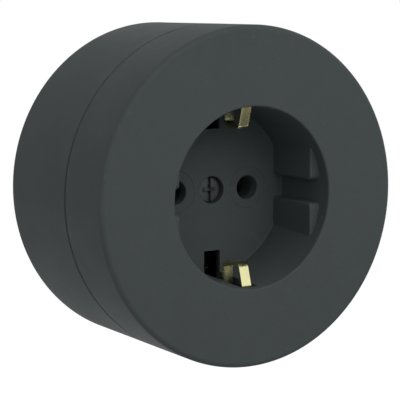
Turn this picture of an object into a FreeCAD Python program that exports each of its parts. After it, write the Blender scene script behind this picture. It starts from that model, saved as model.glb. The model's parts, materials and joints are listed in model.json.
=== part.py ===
"""Round surface-mounted earthed socket outlet.

Frame: origin at the centre of the back face, +Z up, the face looks along -Y.
The wall is the plane y = 0 and every depth into the object is a negative y.
"""
import FreeCAD, Part
import math
import os

V = FreeCAD.Vector
Y_AXIS = V(0, 1, 0)

# How far a cutter runs past the face that it opens, and a rib or post into the wall that carries it
PAST = 1.0
SINK = 0.5

# Housing
FACE_RADIUS = 37.1
HOUSING_DRAFT = 0.4
SEAM = 26.4
SEAM_GAP = 0.3
SEAM_CHAMFER = 0.2
FACE_EDGE_RADIUS = 1.2
WALL = 2.2
SKIRT_TAPER = 0.2
FACE_WALL = 2.2
BACK_WALL = 2.6
BACK_EDGE_RADIUS = 0.5
TONGUE_WALL = 1.0
TONGUE_HEIGHT = 2.6
KEY_WIDTH = 3.6
FIT = 0.1

# Well in the cover
WELL_RADIUS = 19.75
WELL_DRAFT = 0.75
WELL_DEPTH = 17.5
WELL_MOUTH_ROUND = 0.4
WELL_FLOOR_ROUND = 0.6
WELL_WALL = 1.6
FLOOR_WALL = 2.8
LEDGE_DEPTH = 3.0
FLAT_INSET = 2.9
FLAT_LEAN = 0.15
KEYWAY_WIDTH = 5.3
KEYWAY_FLARE = 1.2

# Pin entries and cover screw
PIN_PITCH = 19.0
PIN_LENGTH = 19.0
PIN_TIP_GAP = 0.35
PIN_HOLE_RADIUS = 2.7
PIN_HOLE_CHAMFER = 0.3
LID_HOLE_ROOM = 0.5
RING_RADIUS = 4.75
RING_WIDTH = 0.4
RING_DEPTH = 0.15
SCREW_RADIUS = 1.7
SCREW_HOLE_RADIUS = 1.9
SCREW_HEAD_RADIUS = 2.95
SCREW_HEAD_HEIGHT = 1.4
SCREW_CHAMFER = 0.25
SCREW_RECESS_RADIUS = 3.1
SCREW_RECESS_DEPTH = 2.6
SCREW_LENGTH = 10.0
SCREW_SLOT_DEPTH = 0.7
CROSS_RADIUS = 1.75
CROSS_FOOT_RADIUS = 0.6
CROSS_DEPTH = 1.2
DRIVE_WIDTH = 0.8
BOSS_RADIUS = 5.0
BOSS_HEIGHT = 1.5
THREAD_GAP = 0.05
RUNOUT_ROOM = 0.3
RUNOUT_DEPTH = 2.0

# Earth clips and their slots
SLOT_WIDTH = 4.2
SLOT_REACH = 5.95
CHANNEL_TOP = 2.0
CHANNEL_DEPTH = 1.85
CHANNEL_WALL = 1.4
CLIP_WIDTH = 2.4
CLIP_THICKNESS = 0.7
CLIP_FOOT_WIDTH = 5.0
CLIP_FOOT_OVERHANG = 0.8
CLIP_REACH = 4.9
CLIP_RISER_GAP = 0.6
CLIP_HEEL_RISE = 1.15
CLIP_CROWN_RISE = 0.2
CLIP_TOE_INSET = 0.75
CLIP_TIP_INSET = 0.45
CLIP_SHOULDER_DEPTH = 11.35
CLIP_HEEL_DEPTH = 10.3
CLIP_CROWN_BACK_DEPTH = 9.2
CLIP_CROWN_FRONT_DEPTH = 4.9
CLIP_TOE_DEPTH = 3.35
CLIP_TIP_DEPTH = 2.4
CLIP_BEND = 1.3

# Earth strap, bush, retainer and rivets
STRAP_WIDTH = 9.0
STRAP_THICKNESS = 1.0
STRAP_END_GAP = 0.3
JOGGLE_START = 0.7
JOGGLE_END = 0.6
BUSH_RADIUS = 3.0
BUSH_FLANGE_RADIUS = 4.2
BUSH_FLANGE_HEIGHT = 0.6
BUSH_LENGTH = 8.0
RETAINER_RADIUS = 3.6
RETAINER_THICKNESS = 0.5
RIVET_INSET = 2.6
RIVET_RADIUS = 1.25
RIVET_BORE_RADIUS = 0.6
RIVET_HEAD_RADIUS = 2.3
RIVET_HEAD_HEIGHT = 0.7
RIVET_HEAD_TAPER = 0.7

# Contact carrier and lid
BLOCK_TO_SLOT = 2.8
BLOCK_FLOOR = 1.4
BLOCK_TO_BACK_WALL = 1.4
BLOCK_SIDE_WALL = 2.6
BAND_HALF_X = 7.0
BAND_THICKNESS = 7.0
BAND_ROOT = 2.0
LID_WEB = 0.7
LID_GAP = 0.1
POCKET_HALF_Z = 3.4
POCKET_INNER_ROOM = 0.2
POCKET_OUTER_ROOM = 0.65
WING_HALF_Z = 6.0
NUT_WALL = 1.0
SHELF_THICKNESS = 6.6
SHELF_FLOOR = 1.0

# Pin contacts
CONTACT_THICKNESS = 0.7
CONTACT_WIDTH = 6.0
CONTACT_PINCH = 4.4
CONTACT_PINCH_DROP = 2.2
CONTACT_ROOT = 5.1
CONTACT_MOUTH = 6.0
CONTACT_TIP_GAP = 0.4
CONTACT_BEND = 0.8

# Terminals
TERMINAL_OFFSET = 5.0
EARTH_TERMINAL_INSET = 0.5
EARTH_TERMINAL_GAP = 1.5
TAB_DROP = 2.0
TAB_OVERHANG = 3.4
CLAMP_LENGTH = 6.0
CLAMP_WIDTH = 8.4
CLAMP_THICKNESS = 1.0
CLAMP_LIP = 0.5
CLAMP_LIP_GAP = 0.2
TERMINAL_HEAD_RADIUS = 2.9
TERMINAL_HEAD_HEIGHT = 2.3
TERMINAL_SCREW_LENGTH = 7.2
TERMINAL_SLOT_DEPTH = 1.0
NUT_SIZE = 6.4
NUT_THICKNESS = 3.0

# Fixing of the carrier and of the base
EAR_REACH = 7.5
EAR_SPACE = 1.8
EAR_RADIUS = 3.7
EAR_DROP = 3.5
EAR_THICKNESS = 7.0
POST_RADIUS = 3.7
CARRIER_SCREW_RADIUS = 1.45
CARRIER_SCREW_GRIP = 5.6
CARRIER_HEAD_RADIUS = 2.8
CARRIER_HEAD_HEIGHT = 2.0
CARRIER_SLOT_DEPTH = 0.9
WALL_SCREW_MARGIN = 5.05
WALL_SLOT_WIDTH = 4.2
WALL_SLOT_LENGTH = 6.0
CABLE_ENTRY_MARGIN = 1.55
CABLE_ENTRY_RADIUS = 7.0
CABLE_COLLAR_WALL = 1.2
CABLE_COLLAR_HEIGHT = 1.2
KNOCKOUT_WIDTH = 14.0
KNOCKOUT_HEIGHT = 15.0
KNOCKOUT_SKIN = 1.0
RIB_THICKNESS = 1.2
COVER_RIB_HEIGHT = 9.0
COVER_RIB_ANGLES = (0, 45, 135, 180, 225, 315)
BASE_RIB_HEIGHT = 7.0
BASE_RIB_REACH = 3.0
BASE_RIB_ANGLES = (30, 60, 120, 150, 210, 240, 300, 330)

# Planes and lines that several pieces share
CONTACT_STACK = PIN_TIP_GAP + CONTACT_THICKNESS + THREAD_GAP + BLOCK_FLOOR + BLOCK_TO_BACK_WALL
DEPTH = WELL_DEPTH + PIN_LENGTH + CONTACT_STACK + BACK_WALL
FACE_Y = -DEPTH
BASE_RADIUS = FACE_RADIUS + HOUSING_DRAFT
WELL_FLOOR_RADIUS = WELL_RADIUS - WELL_DRAFT
FLAT_X_AT_LEDGE = WELL_RADIUS - FLAT_INSET
FLAT_X_AT_FLOOR = FLAT_X_AT_LEDGE - FLAT_LEAN
FLOOR_Y = -(DEPTH - WELL_DEPTH)
FLOOR_BACK_Y = FLOOR_Y + FLOOR_WALL
LID_FRONT_Y = FLOOR_BACK_Y + LID_GAP
BOSS_BACK_Y = FLOOR_BACK_Y + BOSS_HEIGHT
BUSH_FRONT_Y = BOSS_BACK_Y + RETAINER_THICKNESS + 2 * THREAD_GAP
BUSH_BACK_Y = BUSH_FRONT_Y + BUSH_LENGTH
STRAP_FRONT_Y = BUSH_FRONT_Y + BUSH_FLANGE_HEIGHT
STRAP_BACK_Y = STRAP_FRONT_Y + STRAP_THICKNESS
LID_BACK_Y = STRAP_BACK_Y + LID_WEB
TAB_Y = STRAP_BACK_Y + TAB_DROP
EARTH_TAB_Y = TAB_Y + (CONTACT_THICKNESS - STRAP_THICKNESS) / 2
SHELF_Y = TAB_Y + CONTACT_THICKNESS / 2
SHELF_BACK_Y = SHELF_Y + SHELF_THICKNESS
BAND_BACK_Y = STRAP_BACK_Y + BAND_THICKNESS
PIN_X = PIN_PITCH / 2
BLOCK_BACK_Y = -BACK_WALL - BLOCK_TO_BACK_WALL
POCKET_FLOOR_Y = BLOCK_BACK_Y - BLOCK_FLOOR
POCKET_INNER_X = PIN_X - CONTACT_MOUTH / 2 - CONTACT_THICKNESS - POCKET_INNER_ROOM
POCKET_OUTER_X = PIN_X + CONTACT_ROOT / 2 + CONTACT_THICKNESS + POCKET_OUTER_ROOM
BLOCK_HALF_X = POCKET_OUTER_X + BLOCK_SIDE_WALL
SLOT_INNER_Z = WELL_RADIUS - SLOT_REACH
BLOCK_HALF_Z = SLOT_INNER_Z - BLOCK_TO_SLOT
TERMINAL_X = BLOCK_HALF_X + TERMINAL_OFFSET
WING_X = TERMINAL_X + NUT_SIZE / 2 + NUT_WALL
CHANNEL_Z = WELL_RADIUS + CHANNEL_DEPTH
CLIP_RISER_Z = CHANNEL_Z - CLIP_RISER_GAP - CLIP_THICKNESS / 2
CLIP_CROWN_Z = WELL_RADIUS - CLIP_REACH
CLIP_HEEL_Z = CLIP_CROWN_Z + CLIP_HEEL_RISE
RIVET_Z = SLOT_INNER_Z + RIVET_INSET
EARTH_TERMINAL_X = BAND_HALF_X + EARTH_TERMINAL_INSET + NUT_SIZE / 2
EARTH_TERMINAL_Z = -(BLOCK_HALF_Z + EARTH_TERMINAL_GAP + NUT_SIZE / 2 + NUT_WALL)
EAR_X = BAND_HALF_X + EAR_REACH
EAR_Z = BLOCK_HALF_Z + EAR_RADIUS + EAR_SPACE
EAR_FRONT_Y = STRAP_BACK_Y + EAR_DROP
POST_TOP_Y = EAR_FRONT_Y + EAR_THICKNESS
BASE_INNER_RADIUS = BASE_RADIUS - (BASE_RADIUS - FACE_RADIUS) * SEAM / DEPTH - WALL
CABLE_ENTRY_Z = -(BASE_INNER_RADIUS - CABLE_ENTRY_RADIUS - CABLE_ENTRY_MARGIN)
WALL_SCREW_X = BASE_INNER_RADIUS - WALL_SCREW_MARGIN


def outer_radius(y):
    """Radius of the housing at depth y: a slight draft from the wall to the face."""
    return BASE_RADIUS + (BASE_RADIUS - FACE_RADIUS) * y / DEPTH


def closed_face(start, steps):
    """Face inside an outline. A step is the next corner, or a pair (point on an arc, its end)."""
    edges = []
    here = start
    for step in steps + [start]:
        if isinstance(step, tuple):
            through, end = step
            edges.append(Part.Arc(here, through, end).toShape())
        else:
            end = step
            edges.append(Part.LineSegment(here, end).toShape())
        here = end
    return Part.Face(Part.Wire(edges))


def turned(start, steps):
    """Solid of revolution about Y. Points are V(radius, y, 0)."""
    return closed_face(start, steps).revolve(V(0, 0, 0), Y_AXIS, 360)


def round_corner(centre, radius, quarter):
    """Middle point of a quarter arc about centre, towards the given quarter (signs of x and y)."""
    reach = radius * math.sqrt(0.5)
    return centre + V(quarter[0] * reach, quarter[1] * reach, 0)


def rod(radius, y_front, y_back, x=0.0, z=0.0):
    """Cylinder along Y between two planes."""
    return Part.makeCylinder(radius, y_back - y_front, V(x, y_front, z), Y_AXIS)


def tapered_rod(radius_front, radius_back, y_front, y_back, x=0.0, z=0.0):
    """Cone frustum along Y between two planes."""
    return Part.makeCone(radius_front, radius_back, y_back - y_front, V(x, y_front, z), Y_AXIS)


def block(x_range, y_range, z_range):
    """Box between three pairs of planes."""
    corner = V(x_range[0], y_range[0], z_range[0])
    size = (x_range[1] - x_range[0], y_range[1] - y_range[0], z_range[1] - z_range[0])
    return Part.makeBox(size[0], size[1], size[2], corner)


def slot_rod(radius, length, y_front, y_back, x, z):
    """Rounded slot along X, through in Y. length is measured end to end."""
    reach = length / 2 - radius
    ends = [rod(radius, y_front, y_back, x + side * reach, z) for side in (-1, 1)]
    middle = block((x - reach, x + reach), (y_front, y_back), (z - radius, z + radius))
    return middle.multiFuse(ends).removeSplitter()


def turned_about_y(shape, degrees):
    """Copy of a shape turned about the object's axis."""
    copy = shape.copy()
    copy.rotate(V(0, 0, 0), Y_AXIS, degrees)
    return copy


def mirrored_x(shape):
    """Mirror image across the plane x = 0."""
    return shape.mirror(V(0, 0, 0), V(1, 0, 0))


def mirrored_z(shape):
    """Mirror image across the plane z = 0."""
    return shape.mirror(V(0, 0, 0), V(0, 0, 1))


def folded_strip(points, bend, thickness, across, width):
    """Sheet folded along a line of points, with an arc of radius bend on its centre line at each corner.

    across is the direction of the width, which is centred on the points.
    """
    half = thickness / 2
    sides = []
    for side in (1, -1):
        edges = []
        heading = (points[1] - points[0]).normalize()
        here = points[0] + across.cross(heading) * half * side
        first = here
        for corner, following in zip(points[1:-1], points[2:]):
            onward = (following - corner).normalize()
            turn = math.atan2(heading.cross(onward).dot(across), heading.dot(onward))
            cut = bend * math.tan(abs(turn) / 2)
            inward = across.cross(heading) * math.copysign(1, turn)
            begin = corner - heading * cut + across.cross(heading) * half * side
            end = corner + onward * cut + across.cross(onward) * half * side
            centre = corner - heading * cut + inward * bend
            reach = bend - half * side * math.copysign(1, turn)
            middle = centre + (corner - centre).normalize() * reach
            edges.append(Part.LineSegment(here, begin).toShape())
            edges.append(Part.Arc(begin, middle, end).toShape())
            here = end
            heading = onward
        last = points[-1] + across.cross(heading) * half * side
        edges.append(Part.LineSegment(here, last).toShape())
        sides.append((first, last, edges))
    (first_a, last_a, edges_a), (first_b, last_b, edges_b) = sides
    tip = Part.LineSegment(last_a, last_b).toShape()
    root = Part.LineSegment(first_b, first_a).toShape()
    outline = Part.Wire(Part.__sortEdges__(edges_a + [tip] + edges_b + [root]))
    sheet = Part.Face(outline).extrude(across * width)
    sheet.translate(across * (-width / 2))
    return sheet


def cover_shell():
    """Face and skirt of the cover, with the rebate that takes the tongue of the base."""
    rear = -(SEAM + SEAM_GAP)
    rear_radius = outer_radius(rear)
    edge = V(outer_radius(FACE_Y) - FACE_EDGE_RADIUS, FACE_Y + FACE_EDGE_RADIUS, 0)
    outside = turned(V(0, rear, 0), [
        V(rear_radius - SEAM_CHAMFER, rear, 0),
        V(rear_radius, rear - SEAM_CHAMFER, 0),
        V(edge.x + FACE_EDGE_RADIUS, edge.y, 0),
        (round_corner(edge, FACE_EDGE_RADIUS, (1, -1)), V(edge.x, FACE_Y, 0)),
        V(0, FACE_Y, 0)])
    inner = rear_radius - WALL
    rebate = BASE_INNER_RADIUS + TONGUE_WALL + FIT
    rebate_y = -(SEAM + TONGUE_HEIGHT + SEAM_GAP)
    inside = turned(V(0, rear + PAST, 0), [
        V(rebate, rear + PAST, 0),
        V(rebate, rebate_y, 0),
        V(inner, rebate_y, 0),
        V(inner - SKIRT_TAPER, FACE_Y + FACE_WALL, 0),
        V(0, FACE_Y + FACE_WALL, 0)])
    key = block((-KEY_WIDTH / 2 + FIT, KEY_WIDTH / 2 - FIT), (rebate_y, rear), (inner - FIT, rebate + FIT))
    return outside.cut(inside).fuse(key)


def well_tube():
    """Outside of the well: a drafted cup with a housing over each earth channel."""
    mouth = WELL_RADIUS + WELL_WALL
    foot = WELL_FLOOR_RADIUS + WELL_WALL
    front = FACE_Y + FACE_WALL / 2
    tube = tapered_rod(mouth, foot, front, FLOOR_BACK_Y)
    half = SLOT_WIDTH / 2 + CHANNEL_WALL
    housings = []
    for side in (-1, 1):
        reach = sorted((0, side * (CHANNEL_Z + CHANNEL_WALL)))
        housings.append(block((-half, half), (front, FLOOR_BACK_Y), reach))
    boss = rod(BOSS_RADIUS, FLOOR_BACK_Y - SINK, BOSS_BACK_Y)
    return tube.multiFuse(housings + [boss])


def cover_ribs():
    """Thin radial ribs between the well and the skirt, behind the face."""
    outer = outer_radius(FACE_Y) - WALL + SINK
    front = FACE_Y + FACE_WALL / 2
    rib = block((WELL_RADIUS, outer), (front, front + COVER_RIB_HEIGHT),
                (-RIB_THICKNESS / 2, RIB_THICKNESS / 2))
    return [turned_about_y(rib, angle) for angle in COVER_RIB_ANGLES]


def side_flat():
    """Solid left standing on the right of the well: a leaning flat with its ledge, cut by the keyway."""
    ledge_y = FACE_Y + LEDGE_DEPTH
    lean = (FLAT_X_AT_LEDGE - FLAT_X_AT_FLOOR) / (FLOOR_Y - ledge_y)
    outside = WELL_RADIUS + 2 * PAST
    below = FLOOR_Y + PAST
    high = WELL_RADIUS
    section = closed_face(V(FLAT_X_AT_LEDGE, ledge_y, 0), [
        V(outside, ledge_y, 0),
        V(outside, below, 0),
        V(FLAT_X_AT_FLOOR - lean * PAST, below, 0)])
    leaning = section.extrude(V(0, 0, 2 * high))
    leaning.translate(V(0, 0, -high))
    half = KEYWAY_WIDTH / 2
    arc_middle = KEYWAY_FLARE * (1 - math.sqrt(0.5))
    jaws = []
    for side in (-1, 1):
        jaw = closed_face(V(0, below, side * half), [
            V(0, ledge_y + KEYWAY_FLARE, side * half),
            (V(0, ledge_y + arc_middle, side * (half + arc_middle)),
             V(0, ledge_y, side * (half + KEYWAY_FLARE))),
            V(0, ledge_y, side * high),
            V(0, below, side * high)])
        jaws.append(jaw.extrude(V(outside, 0, 0)))
    return [leaning.common(jaw) for jaw in jaws]


def well_cavity():
    """Space of the well: a drafted round cup less the two side flats."""
    mouth = V(WELL_RADIUS + WELL_MOUTH_ROUND, FACE_Y + WELL_MOUTH_ROUND, 0)
    corner = V(WELL_FLOOR_RADIUS - WELL_FLOOR_ROUND, FLOOR_Y - WELL_FLOOR_ROUND, 0)
    cup = turned(V(0, FACE_Y - PAST, 0), [
        V(mouth.x, FACE_Y - PAST, 0),
        V(mouth.x, FACE_Y, 0),
        (round_corner(mouth, WELL_MOUTH_ROUND, (-1, -1)), V(WELL_RADIUS, mouth.y, 0)),
        V(WELL_FLOOR_RADIUS, corner.y, 0),
        (round_corner(corner, WELL_FLOOR_ROUND, (1, 1)), V(corner.x, FLOOR_Y, 0)),
        V(0, FLOOR_Y, 0)])
    flats = []
    for jaw in side_flat():
        flats += [jaw, mirrored_x(jaw)]
    return cup.cut(flats)


def cover_openings():
    """Cutters for the earth channels, the pin entries with their ring grooves, and the screw seat."""
    cutters = []
    for side in (-1, 1):
        reach = sorted((side * SLOT_INNER_Z, side * CHANNEL_Z))
        half = SLOT_WIDTH / 2
        cutters.append(block((-half, half), (FACE_Y + CHANNEL_TOP, FLOOR_BACK_Y + PAST), reach))
        x = side * PIN_X
        cutters.append(rod(PIN_HOLE_RADIUS, FLOOR_Y - PAST, FLOOR_BACK_Y + PAST, x))
        wide = PIN_HOLE_RADIUS + PIN_HOLE_CHAMFER
        cutters.append(tapered_rod(wide, PIN_HOLE_RADIUS, FLOOR_Y, FLOOR_Y + PIN_HOLE_CHAMFER, x))
        outer, inner = RING_RADIUS + RING_WIDTH / 2, RING_RADIUS - RING_WIDTH / 2
        groove = rod(outer, FLOOR_Y - PAST, FLOOR_Y + RING_DEPTH, x)
        cutters.append(groove.cut(rod(inner, FLOOR_Y - PAST, FLOOR_Y + RING_DEPTH, x)))
    cutters.append(rod(SCREW_RECESS_RADIUS, FLOOR_Y - PAST, FLOOR_Y + SCREW_RECESS_DEPTH))
    cutters.append(rod(SCREW_HOLE_RADIUS, FLOOR_Y, BOSS_BACK_Y + PAST))
    return cutters


def front_cover():
    """The whole cover as one moulding."""
    body = cover_shell().multiFuse([well_tube()] + cover_ribs())
    return body.cut([well_cavity()] + cover_openings()).removeSplitter()


def base_cup():
    """Back plate and wall of the base, with the tongue that locates the cover."""
    front_radius = outer_radius(-SEAM)
    tongue_y = -(SEAM + TONGUE_HEIGHT)
    tongue_radius = BASE_INNER_RADIUS + TONGUE_WALL
    back = V(BASE_RADIUS - BACK_EDGE_RADIUS, -BACK_EDGE_RADIUS, 0)
    outside = turned(V(0, 0, 0), [
        V(back.x, 0, 0),
        (round_corner(back, BACK_EDGE_RADIUS, (1, 1)), V(outer_radius(back.y), back.y, 0)),
        V(front_radius, -SEAM + SEAM_CHAMFER, 0),
        V(front_radius - SEAM_CHAMFER, -SEAM, 0),
        V(tongue_radius, -SEAM, 0),
        V(tongue_radius, tongue_y, 0),
        V(0, tongue_y, 0)])
    inside = rod(BASE_INNER_RADIUS, tongue_y - PAST, -BACK_WALL)
    notch = block((-KEY_WIDTH / 2, KEY_WIDTH / 2), (tongue_y - PAST, -SEAM),
                  (BASE_INNER_RADIUS - PAST, tongue_radius + FIT))
    return outside.cut([inside, notch])


def base_ribs():
    """Triangular gussets in the corner of back plate and wall."""
    outer = BASE_INNER_RADIUS + SINK
    inner = BASE_INNER_RADIUS - BASE_RIB_REACH
    foot = -BACK_WALL + SINK
    section = closed_face(V(outer, foot, 0), [
        V(inner, foot, 0),
        V(inner, -BACK_WALL, 0),
        V(BASE_INNER_RADIUS, -BACK_WALL - BASE_RIB_HEIGHT, 0),
        V(outer, -BACK_WALL - BASE_RIB_HEIGHT, 0)])
    rib = section.extrude(V(0, 0, RIB_THICKNESS))
    rib.translate(V(0, 0, -RIB_THICKNESS / 2))
    return [turned_about_y(rib, angle) for angle in BASE_RIB_ANGLES]


def knockout(side):
    """Pocket inside the wall that leaves a thin skin, to be broken out for a surface cable."""
    skin_radius = outer_radius(-SEAM) - KNOCKOUT_SKIN
    half = KNOCKOUT_WIDTH / 2
    back = -(BACK_WALL + BASE_RIB_HEIGHT / 2)
    arch_y = back - KNOCKOUT_HEIGHT + half
    outside = BASE_RADIUS + PAST
    low = block((-half, half), (arch_y, back), (0, outside))
    arch = Part.makeCylinder(half, outside, V(0, arch_y, 0), V(0, 0, 1))
    pocket = low.fuse(arch).common(rod(skin_radius, -SEAM, 0)).cut(rod(BASE_INNER_RADIUS - PAST, -SEAM, 0))
    return pocket if side > 0 else mirrored_z(pocket)


def rear_base():
    """The cup that is screwed to the wall, with posts for the carrier and the cable entry."""
    posts = []
    pilots = []
    for side in (-1, 1):
        posts.append(rod(POST_RADIUS, POST_TOP_Y, -BACK_WALL + SINK, side * EAR_X, side * EAR_Z))
        pilots.append(rod(CARRIER_SCREW_RADIUS + THREAD_GAP, POST_TOP_Y - PAST, -BACK_WALL / 2,
                          side * EAR_X, side * EAR_Z))
    collar_radius = CABLE_ENTRY_RADIUS + CABLE_COLLAR_WALL
    collar_y = -BACK_WALL - CABLE_COLLAR_HEIGHT
    collar = rod(collar_radius, collar_y, -BACK_WALL + SINK, 0, CABLE_ENTRY_Z)
    body = base_cup().multiFuse(posts + [collar] + base_ribs())
    entry = rod(CABLE_ENTRY_RADIUS, collar_y - PAST, PAST, 0, CABLE_ENTRY_Z)
    slots = [slot_rod(WALL_SLOT_WIDTH / 2, WALL_SLOT_LENGTH, -BACK_WALL - PAST, PAST,
                      side * WALL_SCREW_X, 0) for side in (-1, 1)]
    cutters = pilots + slots + [entry, knockout(1), knockout(-1)]
    return body.cut(cutters).removeSplitter()


def terminal_shelf(x, z):
    """Cutters for one terminal in the carrier: the nut pocket and the run-out of the screw."""
    half = NUT_SIZE / 2 + FIT
    pocket_back = SHELF_Y + NUT_THICKNESS + FIT
    pocket = block((x - half, x + half), (SHELF_Y - PAST, pocket_back), (z - half, z + half))
    runout = rod(SCREW_RADIUS + RUNOUT_ROOM, SHELF_Y, SHELF_BACK_Y - SHELF_FLOOR, x, z)
    return [pocket, runout]


def contact_carrier():
    """Insulating block: pockets for the pin contacts, wings with nut pockets, band and ears."""
    block_body = block((-BLOCK_HALF_X, BLOCK_HALF_X), (LID_BACK_Y, BLOCK_BACK_Y),
                       (-BLOCK_HALF_Z, BLOCK_HALF_Z))
    additions = []
    cutters = []
    for side in (-1, 1):
        z_band = sorted((side * (BLOCK_HALF_Z + FIT), side * CHANNEL_Z))
        additions.append(block((-BAND_HALF_X, BAND_HALF_X), (STRAP_BACK_Y, BAND_BACK_Y), z_band))
        z_root = sorted((side * (BLOCK_HALF_Z - PAST), side * (BLOCK_HALF_Z + BAND_ROOT)))
        additions.append(block((-BAND_HALF_X, BAND_HALF_X), (LID_BACK_Y, BAND_BACK_Y), z_root))
        x_wing = sorted((side * (BLOCK_HALF_X - PAST), side * WING_X))
        additions.append(block(x_wing, (SHELF_Y, SHELF_BACK_Y), (-WING_HALF_Z, WING_HALF_Z)))
        x_arm = sorted((side * (BAND_HALF_X - PAST), side * EAR_X))
        z_arm = sorted((side * (EAR_Z - EAR_RADIUS), side * (EAR_Z + EAR_RADIUS)))
        additions.append(block(x_arm, (EAR_FRONT_Y, POST_TOP_Y), z_arm))
        additions.append(rod(EAR_RADIUS, EAR_FRONT_Y, POST_TOP_Y, side * EAR_X, side * EAR_Z))
        cutters.append(rod(CARRIER_SCREW_RADIUS + 2 * FIT, EAR_FRONT_Y - PAST, POST_TOP_Y + PAST,
                           side * EAR_X, side * EAR_Z))
        x_pocket = sorted((side * POCKET_INNER_X, side * POCKET_OUTER_X))
        cutters.append(block(x_pocket, (LID_BACK_Y - PAST, POCKET_FLOOR_Y), (-POCKET_HALF_Z, POCKET_HALF_Z)))
        x_notch = sorted((side * (POCKET_OUTER_X - PAST), side * (BLOCK_HALF_X + PAST)))
        cutters.append(block(x_notch, (LID_BACK_Y - PAST, SHELF_Y), (-POCKET_HALF_Z, POCKET_HALF_Z)))
        cutters += terminal_shelf(side * TERMINAL_X, 0)
        cutters.append(rod(RIVET_RADIUS + THREAD_GAP, STRAP_BACK_Y - PAST, BAND_BACK_Y + PAST,
                           0, side * RIVET_Z))
    earth_reach = NUT_SIZE / 2 + NUT_WALL
    z_earth = (EARTH_TERMINAL_Z - earth_reach, EARTH_TERMINAL_Z + earth_reach)
    additions.append(block((BAND_HALF_X - PAST, EARTH_TERMINAL_X + earth_reach), (SHELF_Y, SHELF_BACK_Y),
                           z_earth))
    cutters.append(block((STRAP_WIDTH / 2, BAND_HALF_X + PAST), (STRAP_BACK_Y - PAST, SHELF_Y), z_earth))
    cutters += terminal_shelf(EARTH_TERMINAL_X, EARTH_TERMINAL_Z)
    cutters.append(rod(BUSH_RADIUS + FIT, LID_BACK_Y - PAST, BUSH_BACK_Y + FIT))
    cutters.append(rod(SCREW_RADIUS + RUNOUT_ROOM, LID_BACK_Y, BUSH_BACK_Y + RUNOUT_DEPTH))
    return block_body.multiFuse(additions).cut(cutters).removeSplitter()


def carrier_lid():
    """Lid over the pin contacts, with a channel for the strap and a rib on each contact's flange."""
    body = block((-BLOCK_HALF_X, BLOCK_HALF_X), (LID_FRONT_Y, LID_BACK_Y), (-BLOCK_HALF_Z, BLOCK_HALF_Z))
    channel = STRAP_WIDTH / 2 + FIT
    high = BLOCK_HALF_Z + PAST
    cutters = [block((-channel, channel), (LID_FRONT_Y - PAST, STRAP_BACK_Y), (-high, high)),
               rod(BUSH_RADIUS + FIT, STRAP_BACK_Y - PAST, LID_BACK_Y + PAST),
               rod(BOSS_RADIUS + 2 * FIT, LID_FRONT_Y - PAST, STRAP_BACK_Y)]
    ribs = []
    flange_front = TAB_Y - CONTACT_THICKNESS / 2 - THREAD_GAP
    for side in (-1, 1):
        x_rib = sorted((side * (POCKET_OUTER_X + FIT), side * (BLOCK_HALF_X - FIT)))
        half = POCKET_HALF_Z - FIT
        ribs.append(block(x_rib, (LID_BACK_Y - PAST, flange_front), (-half, half)))
        cutters.append(rod(PIN_HOLE_RADIUS + LID_HOLE_ROOM, LID_FRONT_Y - PAST, LID_BACK_Y + PAST,
                           side * PIN_X))
    return body.multiFuse(ribs).cut(cutters).removeSplitter()


def right_pin_contact():
    """Folded sleeve: two leaves that pinch the pin, and a flange that runs out to the terminal."""
    half = CONTACT_THICKNESS / 2
    pinch = CONTACT_PINCH / 2 + half
    root = CONTACT_ROOT / 2 + half
    mouth = CONTACT_MOUTH / 2
    root_y = POCKET_FLOOR_Y - half - THREAD_GAP
    pinch_y = TAB_Y + CONTACT_PINCH_DROP
    line = [
        V(PIN_X - mouth, LID_BACK_Y + CONTACT_TIP_GAP, 0),
        V(PIN_X - pinch, pinch_y, 0),
        V(PIN_X - root, root_y, 0),
        V(PIN_X + root, root_y, 0),
        V(PIN_X + pinch, pinch_y, 0),
        V(PIN_X + mouth + half, TAB_Y, 0),
        V(TERMINAL_X + TAB_OVERHANG, TAB_Y, 0)]
    sheet = folded_strip(line, CONTACT_BEND, CONTACT_THICKNESS, V(0, 0, 1), CONTACT_WIDTH)
    hole = rod(SCREW_RADIUS + FIT, TAB_Y - PAST, TAB_Y + PAST, TERMINAL_X, 0)
    return sheet.cut(hole)


def earth_strap():
    """Folded strap between the two clips, with a joggled tab for the earth terminal."""
    half = STRAP_WIDTH / 2
    end = CHANNEL_Z - STRAP_END_GAP
    body = block((-half, half), (STRAP_FRONT_Y, STRAP_BACK_Y), (-end, end))
    middle = (STRAP_FRONT_Y + STRAP_BACK_Y) / 2
    line = [
        V(0, middle, EARTH_TERMINAL_Z),
        V(half + JOGGLE_START, middle, EARTH_TERMINAL_Z),
        V(EARTH_TERMINAL_X - CLAMP_LENGTH / 2 - JOGGLE_END, EARTH_TAB_Y, EARTH_TERMINAL_Z),
        V(EARTH_TERMINAL_X + TAB_OVERHANG, EARTH_TAB_Y, EARTH_TERMINAL_Z)]
    tab = folded_strip(line, CONTACT_BEND, STRAP_THICKNESS, V(0, 0, 1), CONTACT_WIDTH)
    holes = [rod(BUSH_RADIUS + THREAD_GAP, STRAP_FRONT_Y - PAST, STRAP_BACK_Y + PAST),
             rod(SCREW_RADIUS + FIT, EARTH_TAB_Y - PAST, EARTH_TAB_Y + PAST,
                 EARTH_TERMINAL_X, EARTH_TERMINAL_Z)]
    for side in (-1, 1):
        holes.append(rod(RIVET_RADIUS + THREAD_GAP, STRAP_FRONT_Y - PAST, STRAP_BACK_Y + PAST,
                         0, side * RIVET_Z))
    return body.fuse(tab).cut(holes).removeSplitter()


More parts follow.
